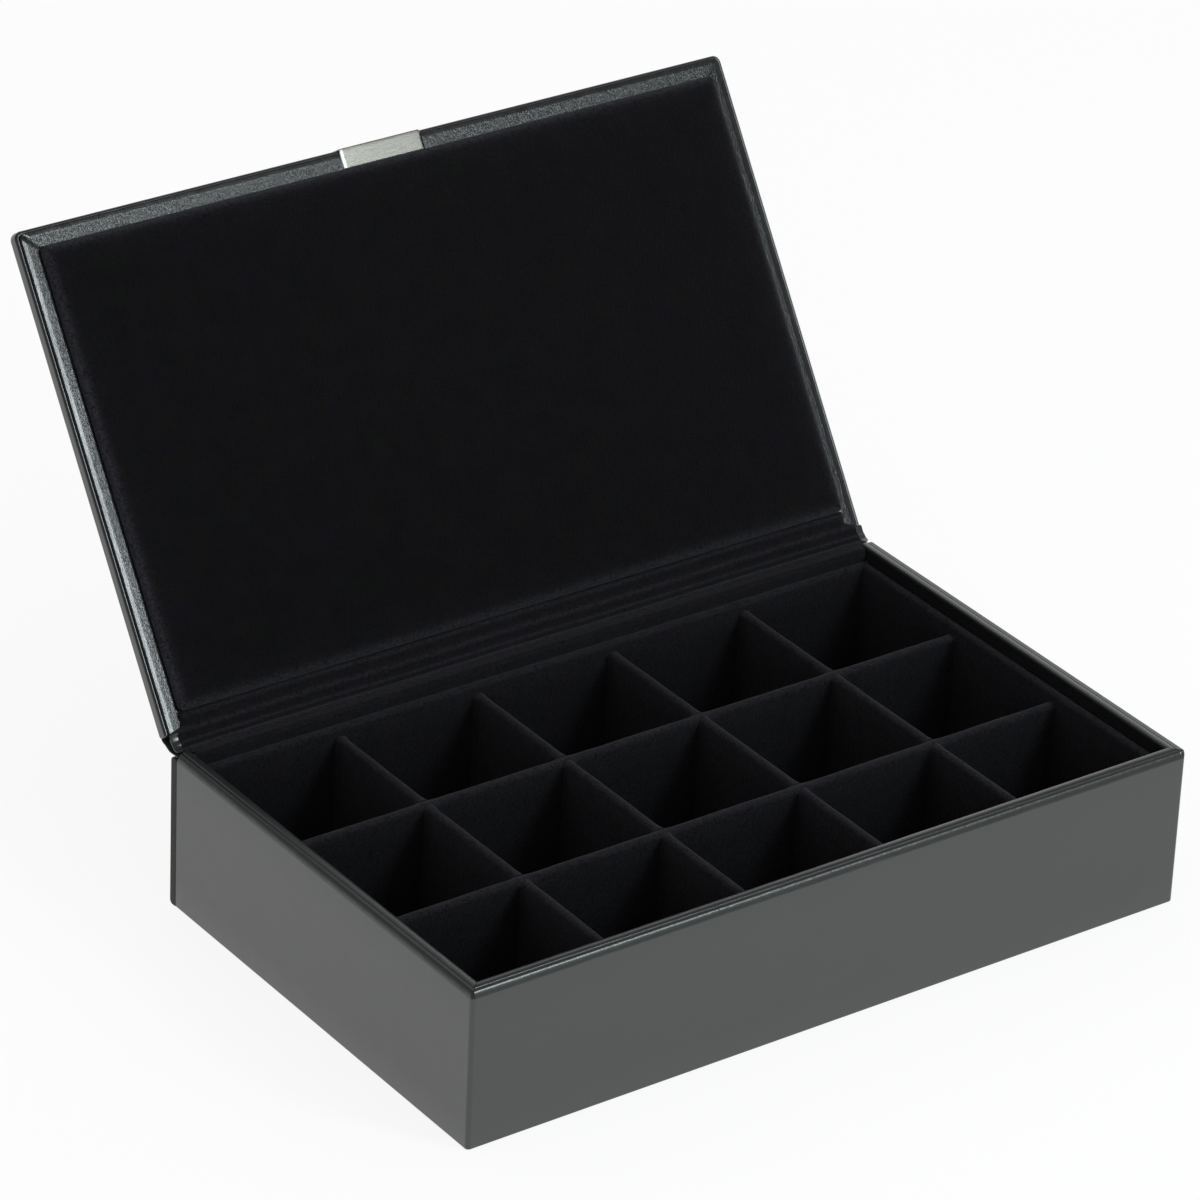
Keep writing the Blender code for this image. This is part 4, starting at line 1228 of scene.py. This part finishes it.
class CUFFLINK_OT_set_stage(bpy.types.Operator):
    """Sets the pale floor, the softbox, the even sky and the camera"""

    bl_idname = "cufflink.set_stage"
    bl_label = "Set Stage"

    def execute(self, context):
        settings = context.scene.cufflink_stage
        self.make_floor(settings)
        self.make_sky(context, settings)
        self.make_softbox(context, settings)
        self.make_camera(context, settings)
        context.scene.view_settings.view_transform = "Standard"
        return {"FINISHED"}

    def make_floor(self, settings):
        builder = bmesh.new()
        bmesh.ops.create_grid(builder, x_segments=8, y_segments=8, size=20.0)
        floor = make_piece("stage_floor", builder, backdrop_paper(settings))
        floor.location = (0, 0, -0.02 * MM)

    def make_sky(self, context, settings):
        """Even white light; gloss shows the white sweep behind the box and the dimmer room before it."""
        sky = bpy.data.worlds.new("even_sky")
        add = empty_tree(sky)
        seen = add("LightPath")
        camera, through = (seen, "Is Camera Ray"), (seen, "Is Transmission Ray")
        rays = add("Math", {"operation": "MAXIMUM"}, {0: camera, 1: through})
        even = add("MapRange", {"To Min": settings.sky_strength, "To Max": 1.0}, {"Value": rays})
        way = (add("TexCoord"), "Generated")
        soft = {"interpolation_type": "SMOOTHSTEP"}
        sweep = add("VectorMath", {"operation": "DOT_PRODUCT", 1: settings.sweep_way}, {0: way})
        sweep = add("MapRange", {**soft, "From Min": 0.25, "From Max": 0.70}, {"Value": (sweep, "Value")})
        height = add("SeparateXYZ", None, {"Vector": way})
        below = add("MapRange", {**soft, "From Min": 0.80, "From Max": 0.58}, {"Value": (height, "Z")})
        white = add("Math", {"operation": "MULTIPLY"}, {0: sweep, 1: below})
        room = add("MapRange", {"To Min": settings.room_strength, "To Max": 1.0}, {"Value": white})
        glow = add("VectorMath", {"operation": "DOT_PRODUCT", 1: settings.glow_way}, {0: way})
        lit = {**soft, "From Min": 0.80, "From Max": 0.99, "To Max": settings.glow_strength}
        glow = add("MapRange", lit, {"Value": (glow, "Value")})
        room = add("Math", {"operation": "ADD"}, {0: room, 1: glow})
        glossy = (seen, "Is Glossy Ray")
        strength = add("Mix", {"data_type": "FLOAT"}, {"Factor": glossy, 2: even, 3: room})
        light = add("Background", {"Color": (1, 1, 1, 1)}, {"Strength": strength})
        add("OutputWorld", None, {"Surface": light})
        context.scene.world = sky

    def make_softbox(self, context, settings):
        lamp = bpy.data.lights.new("tall_softbox", "AREA")
        lamp.shape = "RECTANGLE"
        lamp.size, lamp.size_y = settings.softbox_width, settings.softbox_height
        lamp.color = settings.softbox_colour
        lamp.energy = settings.softbox_power
        softbox = bpy.data.objects.new("tall_softbox", lamp)
        context.scene.collection.objects.link(softbox)
        target = Vector((0, 0.06, 0.08))
        way = way_to(settings.softbox_azimuth, settings.softbox_elevation)
        softbox.location = target + settings.softbox_distance * way
        softbox.rotation_mode = "QUATERNION"
        softbox.rotation_quaternion = (-way).to_track_quat("-Z", "Y")

    def make_camera(self, context, settings):
        data = bpy.data.cameras.new("photo_camera")
        data.lens = settings.camera_lens
        data.sensor_width = 36.0
        data.clip_start, data.clip_end = 0.05, 100.0
        camera = bpy.data.objects.new("photo_camera", data)
        context.scene.collection.objects.link(camera)
        azimuth = settings.camera_azimuth
        back = way_to(azimuth, settings.camera_elevation)
        right = Vector((math.cos(azimuth), math.sin(azimuth), 0))
        up = back.cross(right)
        turned = Matrix((right, up, back)).transposed() @ Matrix.Rotation(settings.camera_roll, 3, "Z")
        camera.matrix_world = Matrix.Translation(settings.camera_place) @ turned.to_4x4()
        context.scene.camera = camera


class CUFFLINK_PT_panel(bpy.types.Panel):
    """Lists the box's settings and the steps that finish it"""

    bl_idname = "CUFFLINK_PT_panel"
    bl_label = "Cufflink Box"
    bl_space_type = "VIEW_3D"
    bl_region_type = "UI"
    bl_category = "Cufflink Box"

    def draw(self, context):
        for name, group in SETTINGS.items():
            box = self.layout.box()
            for key in group.__annotations__:
                box.prop(getattr(context.scene, name), key)
        for step in STEPS:
            self.layout.operator(step.bl_idname)


SETTINGS = {
    "cufflink_leatherette": CUFFLINK_PG_leatherette,
    "cufflink_velvet": CUFFLINK_PG_velvet,
    "cufflink_clasp": CUFFLINK_PG_clasp,
    "cufflink_stage": CUFFLINK_PG_stage,
}
STEPS = (
    CUFFLINK_OT_cover_case,
    CUFFLINK_OT_line_lip,
    CUFFLINK_OT_cover_rear,
    CUFFLINK_OT_lay_base,
    CUFFLINK_OT_line_tray,
    CUFFLINK_OT_cover_lid,
    CUFFLINK_OT_line_lid,
    CUFFLINK_OT_pad_lid,
    CUFFLINK_OT_fit_clasp,
    CUFFLINK_OT_hang_hinge,
    CUFFLINK_OT_set_stage,
)


def register():
    for name, group in SETTINGS.items():
        bpy.utils.register_class(group)
        setattr(bpy.types.Scene, name, bpy.props.PointerProperty(type=group))
    for step in STEPS:
        bpy.utils.register_class(step)
    bpy.utils.register_class(CUFFLINK_PT_panel)


def unregister():
    bpy.utils.unregister_class(CUFFLINK_PT_panel)
    for step in reversed(STEPS):
        bpy.utils.unregister_class(step)
    for name, group in reversed(SETTINGS.items()):
        delattr(bpy.types.Scene, name)
        bpy.utils.unregister_class(group)


def main():
    register()
    for step in STEPS:
        family, action = step.bl_idname.split(".")
        getattr(getattr(bpy.ops, family), action)()


if __name__ == "__main__":
    main()
